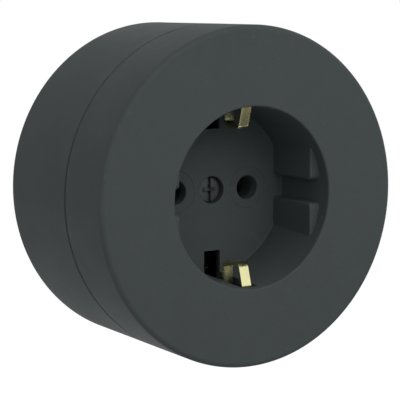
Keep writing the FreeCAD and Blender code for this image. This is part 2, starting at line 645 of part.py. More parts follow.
def upper_earth_clip():
    """Arched spring: a riveted foot, a riser in the channel, and an arch that presses on the plug."""
    foot_y = STRAP_FRONT_Y - CLIP_THICKNESS / 2
    foot_z = SLOT_INNER_Z - CLIP_FOOT_OVERHANG
    line = [
        V(0, foot_y, foot_z),
        V(0, foot_y, CLIP_RISER_Z),
        V(0, FACE_Y + CLIP_SHOULDER_DEPTH, CLIP_RISER_Z),
        V(0, FACE_Y + CLIP_HEEL_DEPTH, CLIP_HEEL_Z),
        V(0, FACE_Y + CLIP_CROWN_BACK_DEPTH, CLIP_CROWN_Z + CLIP_CROWN_RISE),
        V(0, FACE_Y + CLIP_CROWN_FRONT_DEPTH, CLIP_CROWN_Z),
        V(0, FACE_Y + CLIP_TOE_DEPTH, CLIP_RISER_Z - CLIP_TOE_INSET),
        V(0, FACE_Y + CLIP_TIP_DEPTH, CLIP_RISER_Z - CLIP_TIP_INSET)]
    strip = folded_strip(line, CLIP_BEND, CLIP_THICKNESS, V(1, 0, 0), CLIP_WIDTH)
    wide = CLIP_FOOT_WIDTH / 2
    pad = block((-wide, wide), (STRAP_FRONT_Y - CLIP_THICKNESS, STRAP_FRONT_Y),
                (foot_z, CLIP_RISER_Z - CLIP_BEND - CLIP_THICKNESS))
    hole = rod(RIVET_RADIUS + THREAD_GAP, STRAP_FRONT_Y - CLIP_THICKNESS - PAST, STRAP_FRONT_Y + PAST,
               0, RIVET_Z)
    return strip.fuse(pad).cut(hole).removeSplitter()


def clip_rivet(z):
    """Hollow rivet through clip, strap and carrier, with a formed head at each end."""
    front = STRAP_FRONT_Y - CLIP_THICKNESS
    crown_y = front - RIVET_HEAD_HEIGHT
    tail_y = BAND_BACK_Y + RIVET_HEAD_HEIGHT
    small = RIVET_HEAD_RADIUS * RIVET_HEAD_TAPER
    shank = rod(RIVET_RADIUS, front, BAND_BACK_Y, 0, z)
    heads = [tapered_rod(small, RIVET_HEAD_RADIUS, crown_y, front, 0, z),
             tapered_rod(RIVET_HEAD_RADIUS, small, BAND_BACK_Y, tail_y, 0, z)]
    bore = rod(RIVET_BORE_RADIUS, crown_y - PAST, tail_y + PAST, 0, z)
    return shank.multiFuse(heads).cut(bore).removeSplitter()


def cover_screw_bush():
    """Threaded bush seated in the strap, which takes the cover screw."""
    body = rod(BUSH_RADIUS, BUSH_FRONT_Y, BUSH_BACK_Y)
    flange = rod(BUSH_FLANGE_RADIUS, BUSH_FRONT_Y, STRAP_FRONT_Y)
    bore = rod(SCREW_RADIUS + THREAD_GAP, BUSH_FRONT_Y - PAST, BUSH_BACK_Y + PAST)
    return body.fuse(flange).cut(bore).removeSplitter()


def screw_retainer():
    """Washer on the shank behind the boss, which keeps the screw in the loose cover."""
    front = BOSS_BACK_Y + THREAD_GAP
    back = front + RETAINER_THICKNESS
    bore = rod(SCREW_RADIUS + THREAD_GAP, front - PAST, back + PAST)
    return rod(RETAINER_RADIUS, front, back).cut(bore)


def headed_screw(head_radius, head_height, radius, length, seat_y, x, z):
    """Cheese-headed screw along Y with its seat at seat_y and a pointed-off tip."""
    head_front = seat_y - head_height
    crown_back = head_front + SCREW_CHAMFER
    head = rod(head_radius, crown_back, seat_y, x, z)
    crown = tapered_rod(head_radius - SCREW_CHAMFER, head_radius, head_front, crown_back, x, z)
    tip = seat_y + length
    shank = rod(radius, seat_y, tip - radius / 2, x, z)
    point = tapered_rod(radius, radius / 2, tip - radius / 2, tip, x, z)
    return head.multiFuse([crown, shank, point]).removeSplitter()


def drive_slot(head_radius, front_y, depth, x, z, along_z):
    """Cutter for a screwdriver slot across a head."""
    long = head_radius + PAST
    half = DRIVE_WIDTH / 2
    reach_x, reach_z = (half, long) if along_z else (long, half)
    return block((x - reach_x, x + reach_x), (front_y - PAST, front_y + depth), (z - reach_z, z + reach_z))


def cover_screw():
    """Centre screw with a slot across the head and a cross recess."""
    seat = FLOOR_Y + SCREW_RECESS_DEPTH
    front = seat - SCREW_HEAD_HEIGHT
    screw = headed_screw(SCREW_HEAD_RADIUS, SCREW_HEAD_HEIGHT, SCREW_RADIUS, SCREW_LENGTH, seat, 0, 0)
    slot = drive_slot(SCREW_HEAD_RADIUS, front, SCREW_SLOT_DEPTH, 0, 0, True)
    cone = tapered_rod(CROSS_RADIUS, CROSS_FOOT_RADIUS, front, front + CROSS_DEPTH)
    arms = [drive_slot(CROSS_RADIUS, front, CROSS_DEPTH + PAST, 0, 0, along_z) for along_z in (True, False)]
    cross = arms[0].fuse(arms[1])
    return screw.cut([slot, cone.common(cross)]).removeSplitter()


def terminal_clamp(x, z, tab_front):
    """Saddle under the screw head, with a lip each side of the tab."""
    back = tab_front - THREAD_GAP
    front = back - CLAMP_THICKNESS
    x_range = (x - CLAMP_LENGTH / 2, x + CLAMP_LENGTH / 2)
    plate = block(x_range, (front, back), (z - CLAMP_WIDTH / 2, z + CLAMP_WIDTH / 2))
    lips = []
    for side in (-1, 1):
        z_lip = sorted((z + side * (CONTACT_WIDTH / 2 + CLAMP_LIP_GAP), z + side * CLAMP_WIDTH / 2))
        lips.append(block(x_range, (back, back + CLAMP_LIP), z_lip))
    hole = rod(SCREW_RADIUS + FIT, front - PAST, back + PAST, x, z)
    return plate.multiFuse(lips).cut(hole).removeSplitter(), front


def terminal_parts(name, x, z, tab_front):
    """Clamp, screw and nut of one terminal."""
    clamp, clamp_front = terminal_clamp(x, z, tab_front)
    seat = clamp_front - THREAD_GAP
    screw = headed_screw(TERMINAL_HEAD_RADIUS, TERMINAL_HEAD_HEIGHT, SCREW_RADIUS, TERMINAL_SCREW_LENGTH,
                         seat, x, z)
    screw = screw.cut(drive_slot(TERMINAL_HEAD_RADIUS, seat - TERMINAL_HEAD_HEIGHT, TERMINAL_SLOT_DEPTH,
                                 x, z, True))
    half = NUT_SIZE / 2
    front = SHELF_Y + THREAD_GAP
    back = front + NUT_THICKNESS
    nut = block((x - half, x + half), (front, back), (z - half, z + half))
    nut = nut.cut(rod(SCREW_RADIUS + THREAD_GAP, front - PAST, back + PAST, x, z))
    return {name + "_terminal_clamp": clamp, name + "_terminal_screw": screw, name + "_terminal_nut": nut}


def carrier_screw(x, z):
    """Screw that holds the carrier's ear on its post."""
    screw = headed_screw(CARRIER_HEAD_RADIUS, CARRIER_HEAD_HEIGHT, CARRIER_SCREW_RADIUS,
                         EAR_THICKNESS + CARRIER_SCREW_GRIP, EAR_FRONT_Y, x, z)
    return screw.cut(drive_slot(CARRIER_HEAD_RADIUS, EAR_FRONT_Y - CARRIER_HEAD_HEIGHT, CARRIER_SLOT_DEPTH,
                                x, z, False))


def all_nodes():
    """Every piece by its node name."""
    contact = right_pin_contact()
    clip = upper_earth_clip()
    nodes = {
        "front_cover": front_cover(),
        "rear_base": rear_base(),
        "cover_screw": cover_screw(),
        "screw_retainer": screw_retainer(),
        "cover_screw_bush": cover_screw_bush(),
        "contact_carrier": contact_carrier(),
        "carrier_lid": carrier_lid(),
        "right_pin_contact": contact,
        "left_pin_contact": mirrored_x(contact),
        "earth_strap": earth_strap(),
        "upper_earth_clip": clip,
        "lower_earth_clip": mirrored_z(clip),
        "upper_clip_rivet": clip_rivet(RIVET_Z),
        "lower_clip_rivet": clip_rivet(-RIVET_Z),
        "right_carrier_screw": carrier_screw(EAR_X, EAR_Z),
        "left_carrier_screw": carrier_screw(-EAR_X, -EAR_Z)}
    contact_front = TAB_Y - CONTACT_THICKNESS / 2
    strap_front = EARTH_TAB_Y - STRAP_THICKNESS / 2
    nodes.update(terminal_parts("left", -TERMINAL_X, 0, contact_front))
    nodes.update(terminal_parts("right", TERMINAL_X, 0, contact_front))
    nodes.update(terminal_parts("earth", EARTH_TERMINAL_X, EARTH_TERMINAL_Z, strap_front))
    return nodes


def main():
    """Write one file per piece."""
    os.makedirs("parts", exist_ok=True)
    for name, shape in all_nodes().items():
        solids = shape.Solids
        volume = sum(solid.Volume for solid in solids)
        print(name, "solids", len(solids), "volume", round(volume, 1), "valid", shape.isValid())
        piece = solids[0] if len(solids) == 1 else Part.makeCompound(solids)
        piece.exportStep("parts/" + name + ".step")


main()
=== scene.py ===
"""Looks of a round surface-mounted earthed socket outlet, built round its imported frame.

Frame: origin at the centre of the back face, +Z up, the face looks along -Y, metres.
Shapes are worked out in millimetres and put into meshes in metres.
"""
import json
import math

import bmesh
import bpy
import numpy as np
from mathutils import Matrix, Vector


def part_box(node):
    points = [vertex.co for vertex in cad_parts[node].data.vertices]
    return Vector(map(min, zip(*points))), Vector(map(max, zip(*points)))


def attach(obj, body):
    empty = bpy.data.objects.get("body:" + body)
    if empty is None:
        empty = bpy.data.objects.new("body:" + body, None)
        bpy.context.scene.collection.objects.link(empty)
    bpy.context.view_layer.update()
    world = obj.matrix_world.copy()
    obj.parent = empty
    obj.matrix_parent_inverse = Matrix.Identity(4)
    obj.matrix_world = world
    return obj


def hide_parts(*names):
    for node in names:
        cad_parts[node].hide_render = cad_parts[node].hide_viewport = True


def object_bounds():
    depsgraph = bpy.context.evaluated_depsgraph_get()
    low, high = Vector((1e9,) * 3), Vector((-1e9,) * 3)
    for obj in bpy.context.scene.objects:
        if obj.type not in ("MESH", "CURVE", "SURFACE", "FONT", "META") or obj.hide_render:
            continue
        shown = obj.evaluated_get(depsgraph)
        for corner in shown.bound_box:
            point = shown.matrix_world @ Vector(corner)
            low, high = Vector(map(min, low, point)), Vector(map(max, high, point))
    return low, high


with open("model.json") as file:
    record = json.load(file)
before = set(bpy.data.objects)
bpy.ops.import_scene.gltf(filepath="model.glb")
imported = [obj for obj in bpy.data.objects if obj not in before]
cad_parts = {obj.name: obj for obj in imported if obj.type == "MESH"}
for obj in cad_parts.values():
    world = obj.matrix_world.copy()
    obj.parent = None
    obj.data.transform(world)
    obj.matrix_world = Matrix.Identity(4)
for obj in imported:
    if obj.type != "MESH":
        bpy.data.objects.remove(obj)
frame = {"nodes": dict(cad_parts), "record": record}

bl_info = {
    "name": "Earthed socket outlet",
    "version": (1, 0, 0),
    "blender": (4, 5, 0),
    "location": "3D View > Sidebar > Socket",
    "description": "Builds the visible surfaces, finishes and studio of a round earthed socket outlet",
    "category": "Object",
}

CAD_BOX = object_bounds()
COVER_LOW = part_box("front_cover")[0]
SCREW_LOW, SCREW_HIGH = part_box("cover_screw")
MM = 0.001
WHITE = (1.0, 1.0, 1.0, 1.0)

# Hidden measures of the cover and of the clips' feet, in millimetres
FLOOR_PLATE = 2.8
TUBE_WALL = 1.6
REBATE_WIDTH, REBATE_DEPTH = 1.1, 2.6
SLOT_WALL = 1.4
RELIEF_LIP, RELIEF_SIDE, RELIEF_END = 0.9, 0.8, 0.4
RIB_REACH, RIB_DEPTH, RIB_HALF = (20.3, 35.3), 9.0, 0.6
RIB_ANGLES = (0, 45, 135, 180, 225, 315)
BOSS_RADIUS, BOSS_HEIGHT = 5.0, 1.5
KEY_HALF, KEY_RADII = 1.7, (34.9, 36.25)
BUSH_HOLE_RADIUS = 1.9
OVERLAP = 0.05
FOOT_Y, FOOT_END, FOOT_LENGTH = -20.35, 13.0, 5.65
RIVET_HEIGHT, RIVET_RADIUS = 16.4, 1.3


def length(name, description, default, low=0.0):
    """Property for a length in metres."""
    return bpy.props.FloatProperty(name=name, description=description, default=default, min=low,
                                   precision=5, unit="LENGTH", subtype="DISTANCE")


def tilt(name, description, default):
    """Property for an angle in radians."""
    return bpy.props.FloatProperty(name=name, description=description, default=default,
                                   subtype="ANGLE", unit="ROTATION")


def colour(name, description, default):
    """Property for a colour, in linear light."""
    return bpy.props.FloatVectorProperty(name=name, description=description, default=default,
                                         size=3, min=0.0, max=1.0, subtype="COLOR")


def share(name, description, default):
    """Property for a plain factor."""
    return bpy.props.FloatProperty(name=name, description=description, default=default, min=0.0)


class HousingSizes(bpy.types.PropertyGroup):
    """Outer form of the cover."""
    depth: length("Depth", "From the wall to the face", -COVER_LOW.y)
    face_radius: length("Face radius", "Outer radius at the face", 0.0371)
    base_radius: length("Base radius", "Outer radius at the wall", 0.0375)
    seam: length("Seam", "Height of the seam above the wall", 0.0264)
    seam_gap: length("Seam gap", "Width of the groove between cover and base", 0.0005)
    edge_round: length("Edge round", "Rounding between face and skirt", 0.0012)
    seam_round: length("Seam round", "Rounding of the cover's rear edge", 0.0002)
    wall: length("Wall", "Thickness of the skirt and of the face", 0.0022)


class WellSizes(bpy.types.PropertyGroup):
    """Round well for the plug."""
    radius: length("Radius", "Radius of the well at the face", 0.01975)
    draft: length("Draft", "How much narrower the well is at its floor", 0.00075)
    depth: length("Depth", "From the face to the floor", 0.0175)
    mouth_round: length("Mouth round", "Rounding between face and well", 0.0004)
    floor_round: length("Floor round", "Fillet between wall and floor", 0.0003)
    ledge: length("Ledge", "Depth of the ledge on top of each side flat", 0.003)
    flat_x: length("Flat", "Distance of a side flat from the axis at its ledge", 0.01685)
    lean: length("Lean", "How much nearer the flat is at the floor", 0.00015)
    keyway: length("Keyway", "Width of the keyway in each side flat", 0.0053)
    flare: length("Flare", "Radius of the keyway's mouth", 0.0012)
    jaw_round: length("Jaw round", "Rounding along the edges of the side flats", 0.00045)


class EntrySizes(bpy.types.PropertyGroup):
    """Pin entries, screw seat and clip slots in the floor of the well."""
    pin_pitch: length("Pin pitch", "Distance between the two pin entries", 0.019)
    hole_radius: length("Hole radius", "Radius of a pin entry", 0.0027)
    hole_round: length("Hole round", "Rounding at the mouth of a pin entry", 0.0003)
    ring_radius: length("Ring radius", "Radius of the groove round a pin entry, at its middle", 0.00475)
    ring_width: length("Ring width", "Width of the groove round a pin entry", 0.0004)
    ring_depth: length("Ring depth", "Depth of the groove round a pin entry", 0.0001)
    rim_round: length("Rim round", "Rounding of the other rims", 0.00015)
    recess_radius: length("Recess radius", "Radius of the seat of the cover screw", 0.0031)
    recess_depth: length("Recess depth", "Depth of the seat of the cover screw", 0.0026)
    channel_top: length("Channel top", "Where a clip's channel starts below the face", 0.002)
    slot_width: length("Slot width", "Width of the slot of an earth clip", 0.0042)
    slot_inner: length("Slot inner end", "Height of the slot's inner end above the axis", 0.0138)
    slot_outer: length("Slot outer end", "Height of the channel's outer wall above the axis", 0.0216)
    slot_round: length("Slot round", "Rounding of the slot's corners", 0.0003)


class ClipSizes(bpy.types.PropertyGroup):
    """Arched spring strip of the earth contact."""
    width: length("Width", "Width of the strip", 0.0024)
    thickness: length("Thickness", "Thickness of the strip", 0.0007)
    foot_width: length("Foot width", "Width of the riveted foot", 0.005)
    bend: length("Bend", "Radius of the strip's wide bends", 0.0013)
    tight_bend: length("Tight bend", "Radius at the shoulder, heel and toe", 0.0005)
    upper_shoulder: length("Upper shoulder", "Depth of the upper clip's shoulder behind the face", 0.01135)
    upper_heel: length("Upper heel", "Depth of the upper clip's heel behind the face", 0.0103)
    lower_shoulder: length("Lower shoulder", "Depth of the lower clip's shoulder behind the face", 0.01105)
    lower_heel: length("Lower heel", "Depth of the lower clip's heel behind the face", 0.01098)
    edge_round: length("Edge round", "Rounding along the strip's edges", 0.00005)


class ScrewSizes(bpy.types.PropertyGroup):
    """Cover screw with a combined slot and cross."""
    head_radius: length("Head radius", "Radius of the head", 0.00295)
    head_height: length("Head height", "Height of the head", 0.0014)
    shank_radius: length("Shank radius", "Outer radius of the thread", 0.0017)
    pitch: length("Pitch", "Pitch of the thread", 0.0006)
    slot_width: length("Slot width", "Width of the slot and of the cross", 0.0008)
    slot_depth: length("Slot depth", "Depth of the slot", 0.0007)
    cross_radius: length("Cross radius", "Reach of the cross at the top of the head", 0.00175)
    cross_depth: length("Cross depth", "Depth of the cross", 0.0012)


class Finishes(bpy.types.PropertyGroup):
    """Colours and strength of the finishes."""
    housing: colour("Housing", "Anthracite plastic", (0.0575, 0.0668, 0.0678))
    insulator: colour("Insulator", "Dark resin of the inner parts", (0.05, 0.053, 0.053))
    fibre: colour("Fibre", "Retaining washer", (0.35, 0.12, 0.07))
    brass: colour("Brass", "Rolled and stamped brass", (0.72, 0.55, 0.24))
    # Colour of the painted shade laid on brass in its hollows, where little light reaches
    hollow_shade: colour("Painted shade", "Painted shade on brass in the hollows", (0.012, 0.01, 0.008))
    spring: colour("Spring brass", "Bright strip of the earth clips", (0.86, 0.83, 0.45))
    plating: colour("Plating", "Zinc on the terminal screws and clamps", (0.55, 0.56, 0.57))
    blackening: colour("Blackening", "Dark film on the cover screw", (0.06, 0.066, 0.067))
    grain: share("Grain", "Strength of the eroded grain on the housing", 1.0)


class Studio(bpy.types.PropertyGroup):
    """Camera, lamps and floor."""
    focal: share("Focal length", "Focal length in pixels of a frame 400 wide", 1404.17)
    yaw: tilt("Yaw", "Turn of the view from the +Y axis to +X", 0.54501)
    pitch: tilt("Pitch", "Slope of the view below the horizon", 0.12967)
    roll: tilt("Roll", "Turn of the frame about the view", -0.00291)
    distance: length("Distance", "From the camera to the plane of the back face's centre", 0.33796)
    shift_right: length("Right", "Place of the axis to the right of the view's centre", -0.010557, -1.0)
    shift_up: length("Up", "Place of the axis above the view's centre", 0.005017, -1.0)
    floor_drop: length("Floor", "How far the floor lies below the axis", 0.25)
    ambient: share("Ambient", "Light from all round", 0.15)


SETTINGS = (HousingSizes, WellSizes, EntrySizes, ClipSizes, ScrewSizes, Finishes, Studio)


def mm(group):
    """The lengths of a property group in millimetres, by name."""
    names = [name for name in group.__annotations__ if isinstance(getattr(group, name), float)]
    return {name: getattr(group, name) / MM for name in names}


def arc(centre, radius, start, end, steps):
    """Points (radius, y) on a circle about centre, from one angle to another in degrees."""
    turn = np.radians(np.linspace(start, end, steps))
    return np.stack([centre[0] + radius * np.cos(turn), centre[1] + radius * np.sin(turn)], axis=1)


def line(start, end, steps):
    """Points on a straight line, without its ends."""
    along = np.linspace(0.0, 1.0, steps + 2)[1:-1, None]
    return np.array(start) * (1 - along) + np.array(end) * along


def grid_faces(rows, columns, closed_rows=False):
    """Corner numbers of the quads of a grid whose columns close on themselves."""
    row = np.arange(rows if closed_rows else rows - 1)[:, None]
    column = np.arange(columns)[None, :]
    onward = (column + 1) % columns
    below = (row + 1) % rows
    corners = [start * columns + place for start, place in
               ((row, column), (row, onward), (below, onward), (below, column))]
    return np.stack(np.broadcast_arrays(*corners), axis=-1).reshape(-1, 4)


def mesh_object(name, points, faces, caps=()):
    """Object at the origin from points in millimetres, quads and end caps, with its faces outwards."""
    polygons = faces.tolist() + [list(cap) for cap in caps]
    mesh = bpy.data.meshes.new(name)
    mesh.from_pydata((points * MM).tolist(), [], polygons)
    mesh.update()
    close_poles(mesh)
    obj = bpy.data.objects.new(name, mesh)
    bpy.context.scene.collection.objects.link(obj)
    return obj


def close_poles(mesh):
    """Merges the points that meet, drops faces without area and turns all faces outwards."""
    work = bmesh.new()
    work.from_mesh(mesh)
    bmesh.ops.remove_doubles(work, verts=work.verts, dist=1e-7)
    bmesh.ops.dissolve_degenerate(work, edges=work.edges, dist=1e-8)
    bmesh.ops.recalc_face_normals(work, faces=work.faces)
    work.to_mesh(mesh)
    work.free()


def round_turns(columns):
    """Angles of a full turn in equal steps, without its end."""
    return np.linspace(0.0, 2 * np.pi, columns, endpoint=False)


def stacked(turn, *parts):
    """Rows one below the other, each spread over all turns."""
    return np.concatenate([part + 0 * turn for part in parts])


def ring_points(radius, y, turn, centre=(0.0, 0.0)):
    """Points on circles round an axis along Y: a row for each radius and y, a column for each turn."""
    across, up = centre[0] + radius * np.cos(turn), centre[1] + radius * np.sin(turn)
    return np.stack([across, y + 0 * turn, up], axis=-1).reshape(-1, 3)


def turned_piece(name, profile, columns, centre=(0.0, 0.0), closed=False):
    """Solid of revolution: each profile point (radius, y) is carried round an axis along Y at centre."""
    points = ring_points(profile[:, 0:1], profile[:, 1:2], round_turns(columns), centre)
    return mesh_object(name, points, grid_faces(len(profile), columns, closed))


def box_piece(name, x_range, y_range, z_range, turn=0.0):
    """Plain block between three pairs of planes, turned about the Y axis."""
    x, y, z = np.meshgrid(x_range, y_range, z_range, indexing="ij")
    c, s = math.cos(turn), math.sin(turn)
    points = np.stack([c * x - s * z, y, s * x + c * z], axis=-1).reshape(-1, 3)
    sides = [(0, 1, 3, 2), (4, 6, 7, 5), (0, 4, 5, 1), (2, 3, 7, 6), (0, 2, 6, 4), (1, 5, 7, 3)]
    return mesh_object(name, points, np.array(sides))


def prism_piece(name, outline, y_range):
    """Prism along Y: a closed outline of (x, z) points carried between two planes."""
    count = len(outline)
    y = np.repeat(np.array(y_range), count)
    points = np.column_stack([np.tile(outline[:, 0], 2), y, np.tile(outline[:, 1], 2)])
    return mesh_object(name, points, grid_faces(2, count), [range(count), range(count, 2 * count)])


def rounded_rectangle(low, high, radius, steps):
    """Outline of an upright rectangle with round corners, as (x, z) points."""
    corners = [(high[0] - radius, high[1] - radius, 0), (low[0] + radius, high[1] - radius, 90),
               (low[0] + radius, low[1] + radius, 180), (high[0] - radius, low[1] + radius, 270)]
    return np.concatenate([arc((x, z), radius, turn, turn + 90, steps) for x, z, turn in corners])


def joined(pieces):
    """One object out of several."""
    work = bmesh.new()
    for piece in pieces:
        work.from_mesh(piece.data)
    mesh = bpy.data.meshes.new(pieces[0].name)
    work.to_mesh(mesh)
    work.free()
    for piece in pieces:
        bpy.data.objects.remove(piece)
    obj = bpy.data.objects.new(mesh.name, mesh)
    bpy.context.scene.collection.objects.link(obj)
    return obj


def combine(obj, other, operation):
    """Puts the union with another solid, or the difference, into the object's mesh."""
    modifier = obj.modifiers.new("combine", "BOOLEAN")
    modifier.operation = operation
    modifier.solver = "EXACT"
    modifier.object = other
    shape = obj.evaluated_get(bpy.context.evaluated_depsgraph_get())
    mesh = bpy.data.meshes.new_from_object(shape)
    mesh.name = obj.name
    obj.modifiers.clear()
    obj.data = mesh
    bpy.data.objects.remove(other)


def smooth(obj, angle=35.0):
    """Smooth shading up to an angle between faces, with the large faces setting the normals."""
    obj.data.polygons.foreach_set("use_smooth", np.ones(len(obj.data.polygons), bool))
    obj.data.set_sharp_from_angle(angle=math.radians(angle))
    modifier = obj.modifiers.new("weighted", "WEIGHTED_NORMAL")
    modifier.keep_sharp = True


def finish_piece(obj, slot, *nodes):
    """Gives a new piece the finish of its slot and ties it to the frame."""
    obj.data.materials.clear()
    obj.data.materials.append(materials()[slot])
    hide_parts(*nodes)
    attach(obj, "root")


def cover_turns():
    """Angles of the cover's columns, closer together at the keyways and at the ends of the flats."""
    fine = np.linspace(0.0, 2 * np.pi, 7201)
    folded = np.degrees(np.abs(np.arctan2(np.sin(fine), np.abs(np.cos(fine)))))
    density = 1.0 + 3.0 * np.exp(-((folded - 9.5) / 3.6) ** 2) + 1.2 * np.exp(-((folded - 30.0) / 4.0) ** 2)
    reach = np.concatenate([[0.0], np.cumsum((density[1:] + density[:-1]) / 2)])
    return np.interp(np.arange(460) / 460, reach / reach[-1], fine)


def well_clearance(radius, depth, turn, w):
    """Distance to the well's surface, positive in the open space.

    The round wall and the floor meet in a fillet. Each side flat is a solid bounded by a leaning plane,
    the ledge and the keyway, with its edges rounded, and the open space is what lies outside all of them.
    """
    x, z = np.abs(radius * np.cos(turn)), np.abs(radius * np.sin(turn))
    wall = w["radius"] - w["draft"] * depth / w["depth"] - radius
    floor = w["depth"] - depth
    fillet = w["floor_round"]
    cup = fillet - np.hypot(np.maximum(fillet - wall, 0.0), np.maximum(fillet - floor, 0.0))
    below = depth - w["ledge"]
    flat_x = w["flat_x"] - w["lean"] * below / (w["depth"] - w["ledge"])
    drop = np.clip(w["flare"] - below, 0.0, w["flare"])
    keyway = w["keyway"] / 2 + w["flare"] - np.sqrt(w["flare"] ** 2 - drop ** 2)
    edge = w["jaw_round"]
    sides = np.stack([flat_x - x, keyway - z, -below]) + edge
    jaw = np.sqrt((np.maximum(sides, 0.0) ** 2).sum(axis=0)) + np.minimum(sides.max(axis=0), 0.0) - edge
    return np.minimum(np.minimum(cup, floor), jaw)


def well_rows(turn, w):
    """Grid of (radius, depth) down the well, one column for each turn.

    Rays leave the axis some way in front of each height on the wall and slope inwards, so that they
    also meet the ledge and the floor, and halving finds where each one reaches the surface.
    """
    lead = 9.0
    ledge, foot = w["ledge"], w["ledge"] + w["flare"]
    bands = ((w["mouth_round"], ledge - 0.4, 7), (ledge - 0.3, ledge + 1.5, 28),
             (ledge + 1.6, foot + 0.8, 10), (foot + 1.1, 16.0, 16), (16.2, 19.4, 30))
    heights = np.concatenate([np.linspace(*band) for band in bands])[:, None]
    wall = w["radius"] - w["draft"] * heights / w["depth"]
    near, far = np.full((len(heights), len(turn)), 0.5), np.full((len(heights), len(turn)), 1.4)
    for _ in range(34):
        half = (near + far) / 2
        open_space = well_clearance(wall * half, heights - lead + lead * half, turn, w) > 0
        near, far = np.where(open_space, half, near), np.where(open_space, far, half)
    return wall * near, heights - lead + lead * near


def cover_grid(h, w):
    """Points and faces of the cover's closed surface.

    It runs from the middle of the well's floor up the well, over face and skirt, and behind them back
    to the axis.
    """
    turn = cover_turns()
    radius, depth = well_rows(turn, w)
    floor_radius = radius[-1] * np.linspace(0.0, 1.0, 8)[:-1, None]
    face = -h["depth"]
    mouth = (radius[0, 0] + w["mouth_round"], face + w["mouth_round"])
    edge = (h["face_radius"] - h["edge_round"], face + h["edge_round"])
    rear = -(h["seam"] + h["seam_gap"])
    slope = (h["base_radius"] - h["face_radius"]) / h["depth"]
    rear_radius = h["base_radius"] + slope * rear
    hem = (rear_radius - h["seam_round"], rear - h["seam_round"])
    inner = rear_radius - h["wall"]
    rebate = inner + REBATE_WIDTH
    tube = w["radius"] + TUBE_WALL
    back = face + w["depth"] + FLOOR_PLATE
    profile = np.concatenate([
        arc(mouth, w["mouth_round"], 180, 270, 7)[1:],
        line((mouth[0], face), (edge[0], face), 5),
        arc(edge, h["edge_round"], -90, 0, 14),
        line((h["face_radius"], edge[1]), (rear_radius, hem[1]), 5),
        arc(hem, h["seam_round"], 0, 90, 5),
        [(rebate, rear), (rebate, rear - REBATE_DEPTH), (inner, rear - REBATE_DEPTH),
         (inner - 0.2, face + h["wall"]), (tube, face + h["wall"]), (tube - w["draft"], back), (0.0, back)]])
    radius = stacked(turn, floor_radius, radius[::-1], profile[:, 0:1])
    depth = stacked(turn, w["depth"] + 0 * floor_radius, depth[::-1], profile[:, 1:2] + h["depth"])
    return ring_points(radius, depth - h["depth"], turn), grid_faces(len(radius), len(turn))


def rimmed_cutter(name, x, floor, rim, radii, depths):
    """Cutter for a stepped round hole: a small flare at the floor, then each radius down to its depth."""
    flare = arc((radii[0] + rim, floor + rim), rim, 180, 250, 6)[::-1]
    lead, slope = 0.6, math.radians(20)
    outward = flare[0] + np.array([math.cos(slope), -math.sin(slope)]) * lead
    steps = [np.array([(0.0, outward[1]), outward]), flare]
    for radius, start, end in zip(radii, (floor + rim,) + depths[:-1], depths):
        steps.append(np.array([(radius, start), (radius, end)])[int(radius == radii[0]):])
    steps.append(np.array([(0.0, depths[-1])]))
    return turned_piece(name, np.concatenate(steps), 96, (x, 0.0))


def groove_cutter(name, x, floor, e):
    """Ring cutter for the groove round a pin entry: a section with a round bottom, carried round its axis."""
    half, depth = e["ring_width"] / 2, e["ring_depth"]
    reach = (half ** 2 + depth ** 2) / (2 * depth)
    opening = math.degrees(math.asin(half / reach))
    bottom = arc((e["ring_radius"], floor + depth - reach), reach, 90 - opening, 90 + opening, 9)
    top = [(e["ring_radius"] - half, floor - 0.3), (e["ring_radius"] + half, floor - 0.3)]
    return turned_piece(name, np.concatenate([bottom, top]), 120, (x, 0.0), closed=True)


def slot_cutter(name, side, e, wider, longer, y_range):
    """Prism through the clip slot above or below the axis, wider and longer than the slot to each side."""
    half = e["slot_width"] / 2 + wider
    ends = sorted((side * (e["slot_inner"] - longer), side * (e["slot_outer"] + longer)))
    outline = rounded_rectangle((-half, ends[0]), (half, ends[1]), e["slot_round"], 5)
    return prism_piece(name, outline, y_range)


def entry_cutters(h, w, e):
    """Cutters for both pin entries with their grooves, the screw seat and both clip slots."""
    floor = w["depth"] - h["depth"]
    through = floor + FLOOR_PLATE + 1.0
    cutters = []
    for side in (-1, 1):
        x = side * e["pin_pitch"] / 2
        cutters.append(rimmed_cutter("pin_entry", x, floor, e["hole_round"], (e["hole_radius"],), (through,)))
        cutters.append(groove_cutter("entry_groove", x, floor, e))
        cutters.append(slot_cutter("clip_slot", side, e, 0.0, 0.0, (e["channel_top"] - h["depth"], through)))
    radii, depths = (e["recess_radius"], BUSH_HOLE_RADIUS), (floor + e["recess_depth"], through + BOSS_HEIGHT)
    cutters.append(rimmed_cutter("screw_seat", 0.0, floor, e["rim_round"], radii, depths))
    return joined(cutters)


def slot_reliefs(h, w, e):
    """Cutters that widen both clip slots behind a thin lip of the well's floor."""
    floor = w["depth"] - h["depth"]
    y_range = (floor + RELIEF_LIP, floor + FLOOR_PLATE + 1.3)
    return joined([slot_cutter("slot_relief", side, e, RELIEF_SIDE, RELIEF_END, y_range) for side in (-1, 1)])


